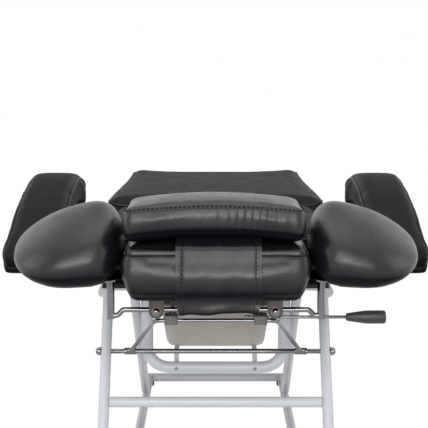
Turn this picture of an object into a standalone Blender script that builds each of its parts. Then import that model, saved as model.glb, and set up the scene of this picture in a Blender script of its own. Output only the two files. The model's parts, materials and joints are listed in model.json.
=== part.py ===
"""Treatment bed with a swinging leg rest, two calf rests, arched armrests and a stored foot basin.

Metres, +Z up, +Y from the foot end to the head end, origin on the floor under the middle of the bed.
"""
import math

import bmesh
import bpy
from mathutils import Matrix, Vector
from mathutils.bvhtree import BVHTree

# Overall layout, along the bed from the foot end
FOOT_Y = -0.8141
GAP = 0.0003
RUN_GAP = 0.0006

# Leg rest pad, its board and the cushion strapped on it
LEGREST_WIDTH = 0.400
LEGREST_LENGTH = 0.285
LEGREST_BASE_Z = 0.499
LEGREST_THICKNESS = 0.103
LEGREST_EDGE = 0.022
LEGREST_CROWN = 0.005
LEGREST_WAIST = 0.004
BOARD_THICKNESS = 0.010
BOARD_INSET = 0.016
CUSHION_WIDTH = 0.388
CUSHION_LENGTH = 0.215
CUSHION_THICKNESS = 0.082
CUSHION_SETBACK = 0.004
CUSHION_EDGE = 0.026
CUSHION_CROWN = 0.012
CUSHION_WAIST = 0.005
STRAP_WIDTH = 0.178
STRAP_OFFSET = 0.006
STRAP_THICKNESS = 0.003
STRAP_DROP = 0.038
STRAP_TUCK = 0.055
STRAP_ANCHOR = 0.008
STRAP_BEND = 0.009

# Seat pad
SEAT_Y = FOOT_Y + 0.300
SEAT_WIDTH = 0.580
SEAT_LENGTH = 0.520
SEAT_BASE_Z = 0.468
SEAT_THICKNESS = 0.130
SEAT_EDGE = 0.030
SEAT_CROWN = 0.005
SEAT_WAIST = 0.004

# Backrest pad
BACK_GAP = 0.012
BACK_Y = SEAT_Y + SEAT_LENGTH + BACK_GAP
BACK_WIDTH = 0.630
BACK_END_WIDTH = 0.575
BACK_LENGTH = 0.800
BACK_THICKNESS = 0.098
BACK_LIFT = 0.008
BACK_TOP_Z = SEAT_BASE_Z + SEAT_THICKNESS + BACK_LIFT
BACK_TAPER_START = 0.2
BACK_EAR_LIFT = 0.012
BACK_EAR_START = 0.75
BACK_EDGE = 0.028
BACK_CROWN = 0.004
BACK_WAIST = 0.004

# Armrests
ARMREST_WIDTH = 0.135
ARMREST_GAP = 0.102
ARMREST_INNER_X = SEAT_WIDTH / 2 + ARMREST_GAP
ARMREST_THICKNESS = 0.080
ARMREST_EDGE = 0.018
ARMREST_CROWN = 0.004
ARMREST_WAIST = 0.002
ARMREST_FRONT_Y = FOOT_Y + 0.445
ARMREST_CROWN_Y = FOOT_Y + 0.910
ARMREST_BACK_Y = FOOT_Y + 1.050
ARMREST_CROWN_Z = 0.635
ARMREST_FRONT_DROP = 0.145
ARMREST_BACK_DROP = 0.050
ARM_PLATE_THICKNESS = 0.006
ARM_PLATE_WIDTH = 0.050

# Calf rests
CALF_WIDTH = 0.248
CALF_LENGTH = 0.290
CALF_THICKNESS = 0.110
CALF_BASE = 0.050
CALF_CENTRE_X = 0.3285
CALF_CENTRE_Y = FOOT_Y + 0.1405
CALF_CENTRE_Z = 0.5975
CALF_PITCH = math.radians(17.0)
CALF_ROLL = math.radians(7.5)
CALF_LEAN = 0.5
CALF_NARROWING = 0.02
CALF_TWIST = 0.05
CALF_ROUNDNESS = 0.82
CALF_FLATNESS = 1.45
CALF_ARM_RADIUS = 0.006
CALF_ARM_Z = 0.4590
CALF_ARM_Y = FOOT_Y + 0.075
CALF_ARM_INNER_X = 0.030
CALF_CRANK_X = 0.205
CALF_CRANK_DROP = 0.013
CALF_POST_X = 0.2330
CALF_POST_RADIUS = 0.0085
CALF_PLATE_RADIUS = 0.028
CALF_PLATE_THICKNESS = 0.004

# Swing frame of the leg rest and its axle
AXLE_RADIUS = 0.006
AXLE_Z = 0.2835
SWING_RADIUS = 0.005
SWING_TOP_X = 0.135
SWING_LOW_X = 0.212
SWING_TOP_Z = 0.4345
SWING_BEND = 0.018
SLEEVE_RADIUS = 0.0085
SLEEVE_LENGTH = 0.030
BRACKET_WIDTH = 0.033
BRACKET_DEPTH = 0.030
BRACKET_X = 0.1310
CLIP_INNER_X = 0.084
CLIP_WIDTH = 0.024
CLIP_WALL = 0.004
BOLT_RADIUS = 0.004
DOME_RADIUS = 0.0085

# Release rod with its grip
ROD_RADIUS = 0.0036
ROD_BEHIND = 0.022
ROD_END_X = 0.291
GRIP_LENGTH = 0.088
GRIP_INNER_RADIUS = 0.0088
GRIP_OUTER_RADIUS = 0.0150
GRIP_OVERLAP = 0.030

# Welded tube frame
TUBE_RADIUS = 0.013
FLOOR_TUBE_RADIUS = 0.0125
FOOT_PAD_HEIGHT = 0.012
FOOT_PAD_RADIUS = 0.018
LEG_INSET = 0.0165
LEG_X = SEAT_WIDTH / 2 - LEG_INSET
LEG_TOP_Y = FOOT_Y + 0.470
LEG_FLOOR_Y = FOOT_Y + 0.246
CROSSBAR_Z = 0.174
RAIL_X = LEG_X
RAIL_Z = SEAT_BASE_Z - GAP - BOARD_THICKNESS - GAP - TUBE_RADIUS
RAIL_FRONT_Y = FOOT_Y + 0.335
FRONT_RAIL_Y = FOOT_Y + 0.420
REAR_RAIL_Y = FOOT_Y + 0.785
SKID_X = 0.203
SKID_RADIUS = 0.012
DIAGONAL_FLOOR_Y = FOOT_Y + 0.850
REAR_BAR_Y = FOOT_Y + 1.070
REAR_BAR_HALF = 0.225

# Recline hinge
HINGE_DEPTH = 0.026
HINGE_Z = BACK_TOP_Z - HINGE_DEPTH
HINGE_Y = BACK_Y - 0.006
PLATE_THICKNESS = 0.006
PLATE_WIDTH = 0.046
PLATE_CLEARANCE = 0.005
PLATE_INNER_X = max(SEAT_WIDTH, BACK_WIDTH) / 2 + PLATE_CLEARANCE
HINGE_BOLT_RADIUS = 0.005
HINGE_HEAD_RADIUS = 0.011
BACK_TUBE_Y = BACK_Y + 0.090

# Basin and its holder
HOLDER_RADIUS = 0.015
HOLDER_X = 0.174
HOLDER_LOW_Z = 0.2265
HOLDER_BEND = 0.055
HOLDER_Y = FRONT_RAIL_Y + TUBE_RADIUS + GAP + HOLDER_RADIUS
REST_X = 0.100
REST_WIDTH = 0.012
REST_THICKNESS = 0.004
REST_RISE = 0.040
BASIN_WIDTH = 0.306
BASIN_LENGTH = 0.300
BASIN_HEIGHT = 0.112
BASIN_WALL = 0.004
BASIN_TAPER = 0.90
BASIN_RIM = 0.010
BASIN_CORNER = 0.040
SCREW_RADIUS = 0.004

FLOOR_TUBE_Z = FOOT_PAD_HEIGHT + GAP + FLOOR_TUBE_RADIUS


def leg_line(low, high, radius, low_clear, high_clear):
    """The two end centres of a leaning leg whose square ends meet the tubes below and above it."""
    low, high = Vector((0.0, *low)), Vector((0.0, *high))
    upright = Vector((0.0, 0.0, 1.0))
    start, end = low, high
    for _ in range(6):
        run = (end - start).normalized()
        rim = (upright - run * run.z).normalized() * radius
        start = low + upright * low_clear + rim
        end = high - upright * high_clear - rim
    return start, end


LEG_START, LEG_END = leg_line((LEG_FLOOR_Y, FLOOR_TUBE_Z), (LEG_TOP_Y, RAIL_Z), TUBE_RADIUS,
                              FLOOR_TUBE_RADIUS + GAP, TUBE_RADIUS + GAP)


def leg_y(height):
    """How far along the bed the leaning front legs stand at a height."""
    return LEG_START.y + (LEG_END.y - LEG_START.y) * (height - LEG_START.z) / (LEG_END.z - LEG_START.z)


AXLE_Y = leg_y(AXLE_Z)

for leftover in list(bpy.data.objects):
    bpy.data.objects.remove(leftover, do_unlink=True)

parts = bpy.data.collections.new("treatment_bed")
cutters = bpy.data.collections.new("cutters")
bpy.context.scene.collection.children.link(parts)
bpy.context.scene.collection.children.link(cutters)


def finish(name, colour, roughness, metallic=0.0):
    """A Principled material with one plain colour."""
    material = bpy.data.materials.new(name)
    material.use_nodes = True
    shader = material.node_tree.nodes["Principled BSDF"]
    shader.inputs["Base Color"].default_value = (*colour, 1.0)
    shader.inputs["Roughness"].default_value = roughness
    shader.inputs["Metallic"].default_value = metallic
    return material


LEATHERETTE = finish("black_leatherette", (0.022, 0.022, 0.025), 0.42)
WHITE_PAINT = finish("white_powder_coat", (0.78, 0.79, 0.81), 0.35)
CHROME = finish("chrome", (0.72, 0.72, 0.74), 0.12, 1.0)
DARK_STEEL = finish("dark_steel", (0.14, 0.13, 0.13), 0.4, 0.8)
BLACK_PLASTIC = finish("black_plastic", (0.03, 0.03, 0.033), 0.5)
GREY_PLASTIC = finish("grey_plastic", (0.16, 0.16, 0.16), 0.5)
CREAM_PLASTIC = finish("cream_plastic", (0.72, 0.68, 0.60), 0.4)
BLACK_BOARD = finish("black_board", (0.03, 0.03, 0.03), 0.8)


def pivot(name, location):
    """An empty on a joint axis, which carries the pieces that move with it."""
    empty = bpy.data.objects.new(name, None)
    empty.location = location
    parts.objects.link(empty)
    return empty


LEGREST_PIVOT = pivot("legrest_pivot", (0.0, AXLE_Y, AXLE_Z))
BACK_PIVOT = pivot("backrest_pivot", (0.0, HINGE_Y, HINGE_Z))
ARM_PIVOT = {side: pivot(f"armrest_pivot_{label}", (side * ARMREST_INNER_X, REAR_RAIL_Y, RAIL_Z))
             for side, label in ((-1, "left"), (1, "right"))}
SIDES = ((-1, "left"), (1, "right"))


def keep(obj, name, material, carrier=None, collection=parts):
    """Name an object, give it its material and hang it on the pivot that carries it."""
    obj.name = name
    obj.data.name = name
    obj.data.materials.clear()
    if material:
        obj.data.materials.append(material)
    for owner in list(obj.users_collection):
        owner.objects.unlink(obj)
    collection.objects.link(obj)
    if carrier:
        obj.parent = carrier
        obj.matrix_parent_inverse = Matrix.Translation(carrier.location).inverted()
    return obj


def from_bmesh(bm, name):
    """A mesh object from a bmesh, with its faces pointing out and round parts smooth."""
    bmesh.ops.recalc_face_normals(bm, faces=bm.faces)
    mesh = bpy.data.meshes.new(name)
    bm.to_mesh(mesh)
    bm.free()
    mesh.shade_smooth()
    mesh.set_sharp_from_angle(angle=math.radians(35.0))
    return bpy.data.objects.new(name, mesh)


def rounded_route(points, bend, steps=5):
    """The points of a bent tube: straight runs with an arc of the given radius at each corner."""
    route = [Vector(points[0])]
    for before, corner, after in zip(points, points[1:], points[2:]):
        corner = Vector(corner)
        back = (Vector(before) - corner).normalized()
        ahead = (Vector(after) - corner).normalized()
        half = back.angle(ahead) / 2
        reach = bend / math.tan(half)
        centre = corner + (back + ahead).normalized() * (bend / math.sin(half))
        start = corner + back * reach - centre
        end = corner + ahead * reach - centre
        sweep = start.angle(end)
        axis = start.cross(end).normalized()
        for step in range(steps + 1):
            turn = Matrix.Rotation(sweep * step / steps, 3, axis)
            route.append(centre + turn @ start)
    route.append(Vector(points[-1]))
    return route


def tube(points, radius, bend=0.0, sides=4):
    """A closed mesh tube along a route, from a curve with a round bevel and filled caps."""
    curve = bpy.data.curves.new("tube", "CURVE")
    curve.dimensions = "3D"
    curve.bevel_depth = radius
    curve.bevel_resolution = sides
    curve.use_fill_caps = True
    spline = curve.splines.new("POLY")
    route = rounded_route(points, bend) if len(points) > 2 else [Vector(p) for p in points]
    spline.points.add(len(route) - 1)
    for place, point in zip(spline.points, route):
        place.co = (*point, 1.0)
    holder = bpy.data.objects.new("tube", curve)
    bpy.context.scene.collection.objects.link(holder)
    bpy.context.view_layer.update()
    graph = bpy.context.evaluated_depsgraph_get()
    mesh = bpy.data.meshes.new_from_object(holder.evaluated_get(graph))
    bm = bmesh.new()
    bm.from_mesh(mesh)
    bmesh.ops.remove_doubles(bm, verts=bm.verts, dist=0.00002)
    bpy.data.objects.remove(holder, do_unlink=True)
    bpy.data.curves.remove(curve)
    bpy.data.meshes.remove(mesh)
    return from_bmesh(bm, "tube")


def rod(centre, axis, radius, length, segments=20):
    """A straight cylinder about its middle point."""
    bm = bmesh.new()
    turn = Vector((0, 0, 1)).rotation_difference(Vector(axis)).to_matrix().to_4x4()
    bmesh.ops.create_cone(bm, cap_ends=True, segments=segments, radius1=radius, radius2=radius,
                          depth=length, matrix=Matrix.Translation(centre) @ turn)
    return from_bmesh(bm, "rod")


def block(low, high, bevel=0.0):
    """A box between two corners, with its edges rounded."""
    low, high = Vector(low), Vector(high)
    bm = bmesh.new()
    size = high - low
    bmesh.ops.create_cube(bm, size=1.0, matrix=Matrix.Translation((low + high) / 2) @ Matrix.Diagonal((*size, 1)))
    if bevel:
        bmesh.ops.bevel(bm, geom=bm.edges, offset=bevel, segments=2, profile=0.5, affect="EDGES")
    return from_bmesh(bm, "block")


def combine(obj, tool, operation):
    """Join a tool to a piece, or cut it out of the piece, and drop the tool."""
    for item in (obj, tool):
        if not item.users_collection:
            cutters.objects.link(item)
    modifier = obj.modifiers.new(operation.lower(), "BOOLEAN")
    modifier.operation = operation
    modifier.object = tool
    modifier.solver = "EXACT"
    bpy.context.view_layer.update()
    graph = bpy.context.evaluated_depsgraph_get()
    mesh = bpy.data.meshes.new_from_object(obj.evaluated_get(graph))
    obj.modifiers.clear()
    obj.data = mesh
    bpy.data.objects.remove(tool, do_unlink=True)
    mesh.shade_smooth()
    mesh.set_sharp_from_angle(angle=math.radians(35.0))
    return obj


def turned(profile, origin, axis, steps=20):
    """A turned solid: a profile of (radius, height) pairs from top to bottom, spun about an axis."""
    bm = bmesh.new()
    points = [bm.verts.new((radius, 0.0, height)) for radius, height in profile]
    edges = [bm.edges.new(pair) for pair in zip(points, points[1:])]
    bmesh.ops.spin(bm, geom=points + edges, cent=(0, 0, 0), axis=(0, 0, 1), angle=math.tau, steps=steps)
    bmesh.ops.remove_doubles(bm, verts=bm.verts, dist=0.00002)
    turn = Vector((0, 0, 1)).rotation_difference(Vector(axis)).to_matrix().to_4x4()
    bmesh.ops.transform(bm, matrix=Matrix.Translation(origin) @ turn, verts=bm.verts)
    return from_bmesh(bm, "turned")


def cushion(half, edge, crown, waist, cuts=7, shape=None):
    """A stuffed pad about its centre: rounded edges, a crowned top and sides drawn in between the corners."""
    half = Vector(half)
    bm = bmesh.new()
    bmesh.ops.create_cube(bm, size=2.0)
    bmesh.ops.subdivide_edges(bm, edges=bm.edges, cuts=cuts, use_grid_fill=True)
    core = [side - edge for side in half]
    for vert in bm.verts:
        unit = Vector([math.sin(value * math.pi / 2) for value in vert.co])
        full = Vector([unit[i] * half[i] for i in range(3)])
        inner = Vector([max(-core[i], min(core[i], full[i])) for i in range(3)])
        place = inner + (full - inner).normalized() * edge if (full - inner).length > 1e-6 else full
        across, along = 1 - unit.x ** 2, 1 - unit.y ** 2
        upright = 1 - unit.z ** 2
        place.x -= math.copysign(waist * along * upright, unit.x) * abs(unit.x) ** 6
        place.y -= math.copysign(waist * across * upright, unit.y) * abs(unit.y) ** 6
        if unit.z > 0:
            place.z += crown * across * along * unit.z
        vert.co = shape(place) if shape else place
    return from_bmesh(bm, "cushion")


def nearest_face(obj, low, high, direction, samples=8):
    """How far a ray from a flat patch runs before it first meets a pad, in the pad's own frame."""
    tree = BVHTree.FromPolygons([vert.co for vert in obj.data.vertices],
                                [tuple(face.vertices) for face in obj.data.polygons])
    low, high = Vector(low), Vector(high)
    runs = []
    for row in range(samples + 1):
        for column in range(samples + 1):
            shares = (column / samples, row / samples, row / samples)
            start = Vector([low[i] + (high[i] - low[i]) * shares[i] for i in range(3)])
            distance = tree.ray_cast(start, Vector(direction))[3]
            if distance is not None:
                runs.append(distance)
    return min(runs)


def board(pad_half_x, low_y, high_y, top_z, end_half_x=None):
    """The flat panel that a pad is upholstered on, a little smaller than the pad."""
    half = pad_half_x - BOARD_INSET
    end_half = (end_half_x or pad_half_x) - BOARD_INSET
    outline = ((-half, low_y + BOARD_INSET), (half, low_y + BOARD_INSET),
               (end_half, high_y - BOARD_INSET), (-end_half, high_y - BOARD_INSET))
    bm = bmesh.new()
    face = bm.faces.new([bm.verts.new((x, y, top_z - BOARD_THICKNESS)) for x, y in outline])
    raised = bmesh.ops.extrude_face_region(bm, geom=[face])["geom"]
    lifted = [item for item in raised if isinstance(item, bmesh.types.BMVert)]
    bmesh.ops.translate(bm, verts=lifted, vec=(0, 0, BOARD_THICKNESS))
    return from_bmesh(bm, "board")


# Floor frame, legs and seat rails
for side, label in SIDES:
    leg = tube([(side * LEG_X, *LEG_START.yz), (side * LEG_X, *LEG_END.yz)], TUBE_RADIUS)
    bore = rod((side * LEG_X, AXLE_Y, AXLE_Z), (1, 0, 0), AXLE_RADIUS + GAP, 4 * TUBE_RADIUS, 16)
    keep(combine(leg, bore, "DIFFERENCE"), f"front_leg_{label}", WHITE_PAINT)
    low, high = leg_line((DIAGONAL_FLOOR_Y, FLOOR_TUBE_Z), (FRONT_RAIL_Y, RAIL_Z), SKID_RADIUS,
                         SKID_RADIUS + GAP, TUBE_RADIUS + GAP)
    keep(tube([(side * SKID_X, *low.yz), (side * SKID_X, *high.yz)], SKID_RADIUS), f"diagonal_leg_{label}", WHITE_PAINT)
    skid = tube([(side * SKID_X, LEG_FLOOR_Y + FLOOR_TUBE_RADIUS + GAP, FLOOR_TUBE_Z),
                 (side * SKID_X, REAR_BAR_Y - FLOOR_TUBE_RADIUS - GAP, FLOOR_TUBE_Z)], SKID_RADIUS)
    keep(skid, f"floor_skid_{label}", WHITE_PAINT)
    rail = tube([(side * RAIL_X, RAIL_FRONT_Y, RAIL_Z),
                 (side * RAIL_X, REAR_RAIL_Y - TUBE_RADIUS - GAP, RAIL_Z)], TUBE_RADIUS)
    keep(rail, f"seat_rail_{label}", WHITE_PAINT)
    for end, bar_y, half in (("front", LEG_FLOOR_Y, LEG_X), ("rear", REAR_BAR_Y, REAR_BAR_HALF)):
        foot = rod((side * (half - FOOT_PAD_RADIUS), bar_y, FOOT_PAD_HEIGHT / 2), (0, 0, 1),
                   FOOT_PAD_RADIUS, FOOT_PAD_HEIGHT)
        keep(foot, f"foot_pad_{end}_{label}", BLACK_PLASTIC)


def cross_tube(name, half, y, z, radius, material=WHITE_PAINT, carrier=None):
    """A straight tube across the bed."""
    return keep(tube([(-half, y, z), (half, y, z)], radius), name, material, carrier)


cross_tube("front_floor_bar", LEG_X + TUBE_RADIUS, LEG_FLOOR_Y, FLOOR_TUBE_Z, FLOOR_TUBE_RADIUS)
cross_tube("rear_floor_bar", REAR_BAR_HALF, REAR_BAR_Y, FLOOR_TUBE_Z, FLOOR_TUBE_RADIUS)
cross_tube("front_crossbar", LEG_X - TUBE_RADIUS - GAP, leg_y(CROSSBAR_Z), CROSSBAR_Z, TUBE_RADIUS)
cross_tube("seat_front_rail", RAIL_X - TUBE_RADIUS - GAP, FRONT_RAIL_Y, RAIL_Z, TUBE_RADIUS)
ARM_MID_X = ARMREST_INNER_X + ARMREST_WIDTH / 2
cross_tube("seat_rear_rail", ARM_MID_X + TUBE_RADIUS, REAR_RAIL_Y, RAIL_Z, TUBE_RADIUS)

# Seat
keep(board(SEAT_WIDTH / 2, SEAT_Y, SEAT_Y + SEAT_LENGTH, SEAT_BASE_Z - GAP), "seat_board", BLACK_BOARD)
seat = cushion((SEAT_WIDTH / 2, SEAT_LENGTH / 2, SEAT_THICKNESS / 2), SEAT_EDGE, SEAT_CROWN, SEAT_WAIST)
seat.location = (0, SEAT_Y + SEAT_LENGTH / 2, SEAT_BASE_Z + SEAT_THICKNESS / 2)
keep(seat, "seat_pad", LEATHERETTE)

# Recline hinge plates on the seat rail, their bolts, and the plates and tube of the backrest
BACK_BASE_Z = BACK_TOP_Z - BACK_THICKNESS
BACK_TUBE_Z = BACK_BASE_Z - GAP - BOARD_THICKNESS - GAP - TUBE_RADIUS
MOVING_X = PLATE_INNER_X + PLATE_THICKNESS + RUN_GAP
PLATE_EDGE = PLATE_WIDTH / 2
BOLT_OUTER_X = MOVING_X + PLATE_THICKNESS + RUN_GAP
HINGE_LUG_RADIUS = 0.016
HINGE_HEAD_HEIGHT = 0.006
RAIL_PIN, HINGE_PIN, BACK_PIN = (REAR_RAIL_Y, RAIL_Z), (HINGE_Y, HINGE_Z), (BACK_TUBE_Y, BACK_TUBE_Z)


def hull_plate(discs, corners, low_x, high_x, steps=20):
    """A flat plate drawn tight around discs and corner points, which are given along and up the bed."""
    bm = bmesh.new()
    for x in (low_x, high_x):
        for (along, up), radius in discs:
            for step in range(steps):
                turn = math.tau * step / steps
                bm.verts.new((x, along + radius * math.cos(turn), up + radius * math.sin(turn)))
        for along, up in corners:
            bm.verts.new((x, along, up))
    hull = bmesh.ops.convex_hull(bm, input=bm.verts)
    spare = {item for item in hull["geom_interior"] + hull["geom_unused"] if isinstance(item, bmesh.types.BMVert)}
    bmesh.ops.delete(bm, geom=list(spare), context="VERTS")
    bmesh.ops.dissolve_limit(bm, angle_limit=math.radians(1.0), verts=bm.verts, edges=bm.edges)
    return from_bmesh(bm, "plate")


def drill(plate, x, pin, radius):
    """A hole across the bed through a side plate."""
    return combine(plate, rod((x, *pin), (1, 0, 0), radius, 8 * PLATE_THICKNESS), "DIFFERENCE")


for side, label in SIDES:
    low_x, high_x = sorted((side * PLATE_INNER_X, side * (PLATE_INNER_X + PLATE_THICKNESS)))
    fixed = hull_plate(((RAIL_PIN, PLATE_EDGE), (HINGE_PIN, HINGE_LUG_RADIUS)), (), low_x, high_x)
    drill(fixed, side * PLATE_INNER_X, RAIL_PIN, TUBE_RADIUS + GAP)
    drill(fixed, side * PLATE_INNER_X, HINGE_PIN, HINGE_BOLT_RADIUS + GAP)
    keep(fixed, f"hinge_plate_{label}", DARK_STEEL)
    low_x, high_x = sorted((side * MOVING_X, side * (MOVING_X + PLATE_THICKNESS)))
    moving = hull_plate(((HINGE_PIN, HINGE_LUG_RADIUS), (BACK_PIN, PLATE_EDGE)), (), low_x, high_x)
    drill(moving, side * MOVING_X, HINGE_PIN, HINGE_BOLT_RADIUS + GAP)
    keep(moving, f"backrest_plate_{label}", DARK_STEEL, BACK_PIVOT)
    shank_end = PLATE_INNER_X - RUN_GAP - BOLT_OUTER_X
    bolt = turned(((0.0, HINGE_HEAD_HEIGHT), (HINGE_HEAD_RADIUS * 0.7, HINGE_HEAD_HEIGHT * 0.85),
                   (HINGE_HEAD_RADIUS, HINGE_HEAD_HEIGHT / 3), (HINGE_HEAD_RADIUS, 0.0), (HINGE_BOLT_RADIUS, 0.0),
                   (HINGE_BOLT_RADIUS, shank_end), (0.0, shank_end)),
                  (side * BOLT_OUTER_X, *HINGE_PIN), (side, 0, 0))
    keep(bolt, f"recline_bolt_{label}", CHROME)

cross_tube("backrest_tube", MOVING_X - GAP, BACK_TUBE_Y, BACK_TUBE_Z, TUBE_RADIUS, WHITE_PAINT, BACK_PIVOT)
keep(board(BACK_WIDTH / 2, BACK_Y, BACK_Y + BACK_LENGTH, BACK_BASE_Z - GAP, BACK_END_WIDTH / 2),
     "backrest_board", BLACK_BOARD, BACK_PIVOT)


def backrest_shape(place):
    """Narrow the backrest towards the head end and lift its two far corners."""
    along = place.y / BACK_LENGTH + 0.5
    taper = max(0.0, along - BACK_TAPER_START) / (1.0 - BACK_TAPER_START)
    width = BACK_WIDTH + (BACK_END_WIDTH - BACK_WIDTH) * taper
    place.x *= width / BACK_WIDTH
    corner = max(0.0, along - BACK_EAR_START) / (1.0 - BACK_EAR_START) * (2 * abs(place.x) / width) ** 4
    if place.z > 0:
        place.z += BACK_EAR_LIFT * corner
    return place


back = cushion((BACK_WIDTH / 2, BACK_LENGTH / 2, BACK_THICKNESS / 2), BACK_EDGE, BACK_CROWN, BACK_WAIST,
               shape=backrest_shape)
back.location = (0, BACK_Y + BACK_LENGTH / 2, BACK_BASE_Z + BACK_THICKNESS / 2)
keep(back, "backrest_pad", LEATHERETTE, BACK_PIVOT)

# Armrests on the ends of the rear rail
FRONT_CURVE = ARMREST_FRONT_DROP / (ARMREST_CROWN_Y - ARMREST_FRONT_Y) ** 2
BACK_CURVE = ARMREST_BACK_DROP / (ARMREST_BACK_Y - ARMREST_CROWN_Y) ** 2
ARMREST_MID_Y = (ARMREST_FRONT_Y + ARMREST_BACK_Y) / 2


def arch(place):
    """Bend a straight pad over the arch of the armrest, which falls away from its crown both ways."""
    from_crown = ARMREST_MID_Y + place.y - ARMREST_CROWN_Y
    curve = FRONT_CURVE if from_crown < 0 else BACK_CURVE
    slope = -2 * curve * from_crown
    middle = ARMREST_CROWN_Z - curve * from_crown ** 2
    stretch = math.hypot(1.0, slope)
    return Vector((place.x, ARMREST_CROWN_Y + from_crown - place.z * slope / stretch, middle + place.z / stretch))


ARM_CUTS = 9
for side, label in SIDES:
    arm = cushion((ARMREST_WIDTH / 2, (ARMREST_BACK_Y - ARMREST_FRONT_Y) / 2, ARMREST_THICKNESS / 2),
                  ARMREST_EDGE, ARMREST_CROWN, ARMREST_WAIST, ARM_CUTS, arch)
    half_plate = ARM_PLATE_THICKNESS / 2
    plate_low = REAR_RAIL_Y - ARM_PLATE_WIDTH / 2
    plate_high = REAR_RAIL_Y + ARM_PLATE_WIDTH / 2
    plate_top = nearest_face(arm, (-half_plate, plate_low, 0.0), (half_plate, plate_high, 0.0), (0, 0, 1)) - GAP
    arm.location.x = side * ARM_MID_X
    keep(arm, f"armrest_pad_{label}", LEATHERETTE, ARM_PIVOT[side])
    bracket = hull_plate(((RAIL_PIN, ARM_PLATE_WIDTH / 2),), ((plate_low, plate_top), (plate_high, plate_top)),
                         side * ARM_MID_X - half_plate, side * ARM_MID_X + half_plate)
    drill(bracket, side * ARM_MID_X, RAIL_PIN, TUBE_RADIUS + RUN_GAP)
    keep(bracket, f"armrest_bracket_{label}", DARK_STEEL, ARM_PIVOT[side])

# Basin holder, its two rests and the open basin
HOLDER_TOP_Z = RAIL_Z + TUBE_RADIUS / 2
holder = tube([(-HOLDER_X, HOLDER_Y, HOLDER_TOP_Z), (-HOLDER_X, HOLDER_Y, HOLDER_LOW_Z),
               (HOLDER_X, HOLDER_Y, HOLDER_LOW_Z), (HOLDER_X, HOLDER_Y, HOLDER_TOP_Z)], HOLDER_RADIUS, HOLDER_BEND)
keep(holder, "basin_holder", WHITE_PAINT)
REST_Y = HOLDER_Y + HOLDER_RADIUS + GAP
BASIN_BASE_Z = HOLDER_LOW_Z + REST_RISE + GAP
BASIN_Y = REST_Y + REST_THICKNESS + GAP + BASIN_RIM
for side, label in SIDES:
    low_x, high_x = side * REST_X - REST_WIDTH / 2, side * REST_X + REST_WIDTH / 2
    upright = block((low_x, REST_Y, HOLDER_LOW_Z - SCREW_RADIUS * 2),
                    (high_x, REST_Y + REST_THICKNESS, HOLDER_LOW_Z + REST_RISE))
    shelf = block((low_x, REST_Y, HOLDER_LOW_Z + REST_RISE - REST_THICKNESS),
                  (high_x, BASIN_Y + BASIN_LENGTH, HOLDER_LOW_Z + REST_RISE))
    keep(combine(upright, shelf, "UNION"), f"basin_rest_{label}", WHITE_PAINT)
    screw = turned(((0.0, 0.003), (SCREW_RADIUS * 0.7, 0.0024), (SCREW_RADIUS, 0.0012), (SCREW_RADIUS, 0.0), (0.0, 0.0)),
                   (side * REST_X, HOLDER_Y - HOLDER_RADIUS - GAP, HOLDER_LOW_Z), (0, -1, 0), 12)
    keep(screw, f"holder_screw_{label}", CHROME)


def rounded_ring(bm, half_x, half_y, corner, height, middle_y, arc_steps=4):
    """A ring of points on a rectangle with round corners."""
    ring = []
    for quarter in range(4):
        sign_x = 1 if quarter in (0, 3) else -1
        sign_y = 1 if quarter in (0, 1) else -1
        for step in range(arc_steps + 1):
            turn = math.pi / 2 * (quarter + step / arc_steps)
            ring.append(bm.verts.new((sign_x * (half_x - corner) + corner * math.cos(turn),
                                      middle_y + sign_y * (half_y - corner) + corner * math.sin(turn), height)))
    return ring


BASIN_MID_Y = BASIN_Y + BASIN_LENGTH / 2
half_x, half_y = BASIN_WIDTH / 2, BASIN_LENGTH / 2
basin_rings = ((BASIN_TAPER - 0.03, 0.0, 0.0), (BASIN_TAPER, 0.010, 0.0), (1.0, BASIN_HEIGHT - BASIN_WALL, 0.0),
               (1.0, BASIN_HEIGHT - BASIN_WALL, BASIN_RIM))
bm = bmesh.new()
rings = [rounded_ring(bm, half_x * share + spread - BASIN_RIM, half_y * share + spread - BASIN_RIM,
                      BASIN_CORNER * share + spread, BASIN_BASE_Z + rise, BASIN_MID_Y)
         for share, rise, spread in basin_rings]
bm.faces.new(list(reversed(rings[0])))
for lower, upper in zip(rings, rings[1:]):
    for index in range(len(lower)):
        after = (index + 1) % len(lower)
        bm.faces.new((lower[index], lower[after], upper[after], upper[index]))
basin_mesh = bpy.data.meshes.new("basin")
bm.to_mesh(basin_mesh)
bm.free()
basin = bpy.data.objects.new("basin", basin_mesh)
keep(basin, "basin", CREAM_PLASTIC)
thick = basin.modifiers.new("wall", "SOLIDIFY")
thick.thickness = BASIN_WALL
thick.offset = -1.0
thick.use_even_offset = True

# Axle through the front legs, with its cap nuts
NUT_RADIUS = 0.0105
NUT_HEIGHT = 0.013
AXLE_PROUD = 0.007
AXLE_HALF = LEG_X + TUBE_RADIUS + AXLE_PROUD
keep(rod((0, AXLE_Y, AXLE_Z), (1, 0, 0), AXLE_RADIUS, 2 * AXLE_HALF), "axle", CHROME)
for side, label in SIDES:
    nut = turned(((0.0, NUT_HEIGHT), (NUT_RADIUS * 0.6, NUT_HEIGHT * 0.9), (NUT_RADIUS * 0.85, NUT_HEIGHT * 0.6),
                  (NUT_RADIUS, NUT_HEIGHT * 0.45), (NUT_RADIUS, 0.0), (AXLE_RADIUS + GAP, 0.0),
                  (AXLE_RADIUS + GAP, AXLE_PROUD + GAP), (0.0, AXLE_PROUD + GAP)),
                 (side * (LEG_X + TUBE_RADIUS + GAP), AXLE_Y, AXLE_Z), (side, 0, 0))
    keep(nut, f"axle_nut_{label}", CHROME)

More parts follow.
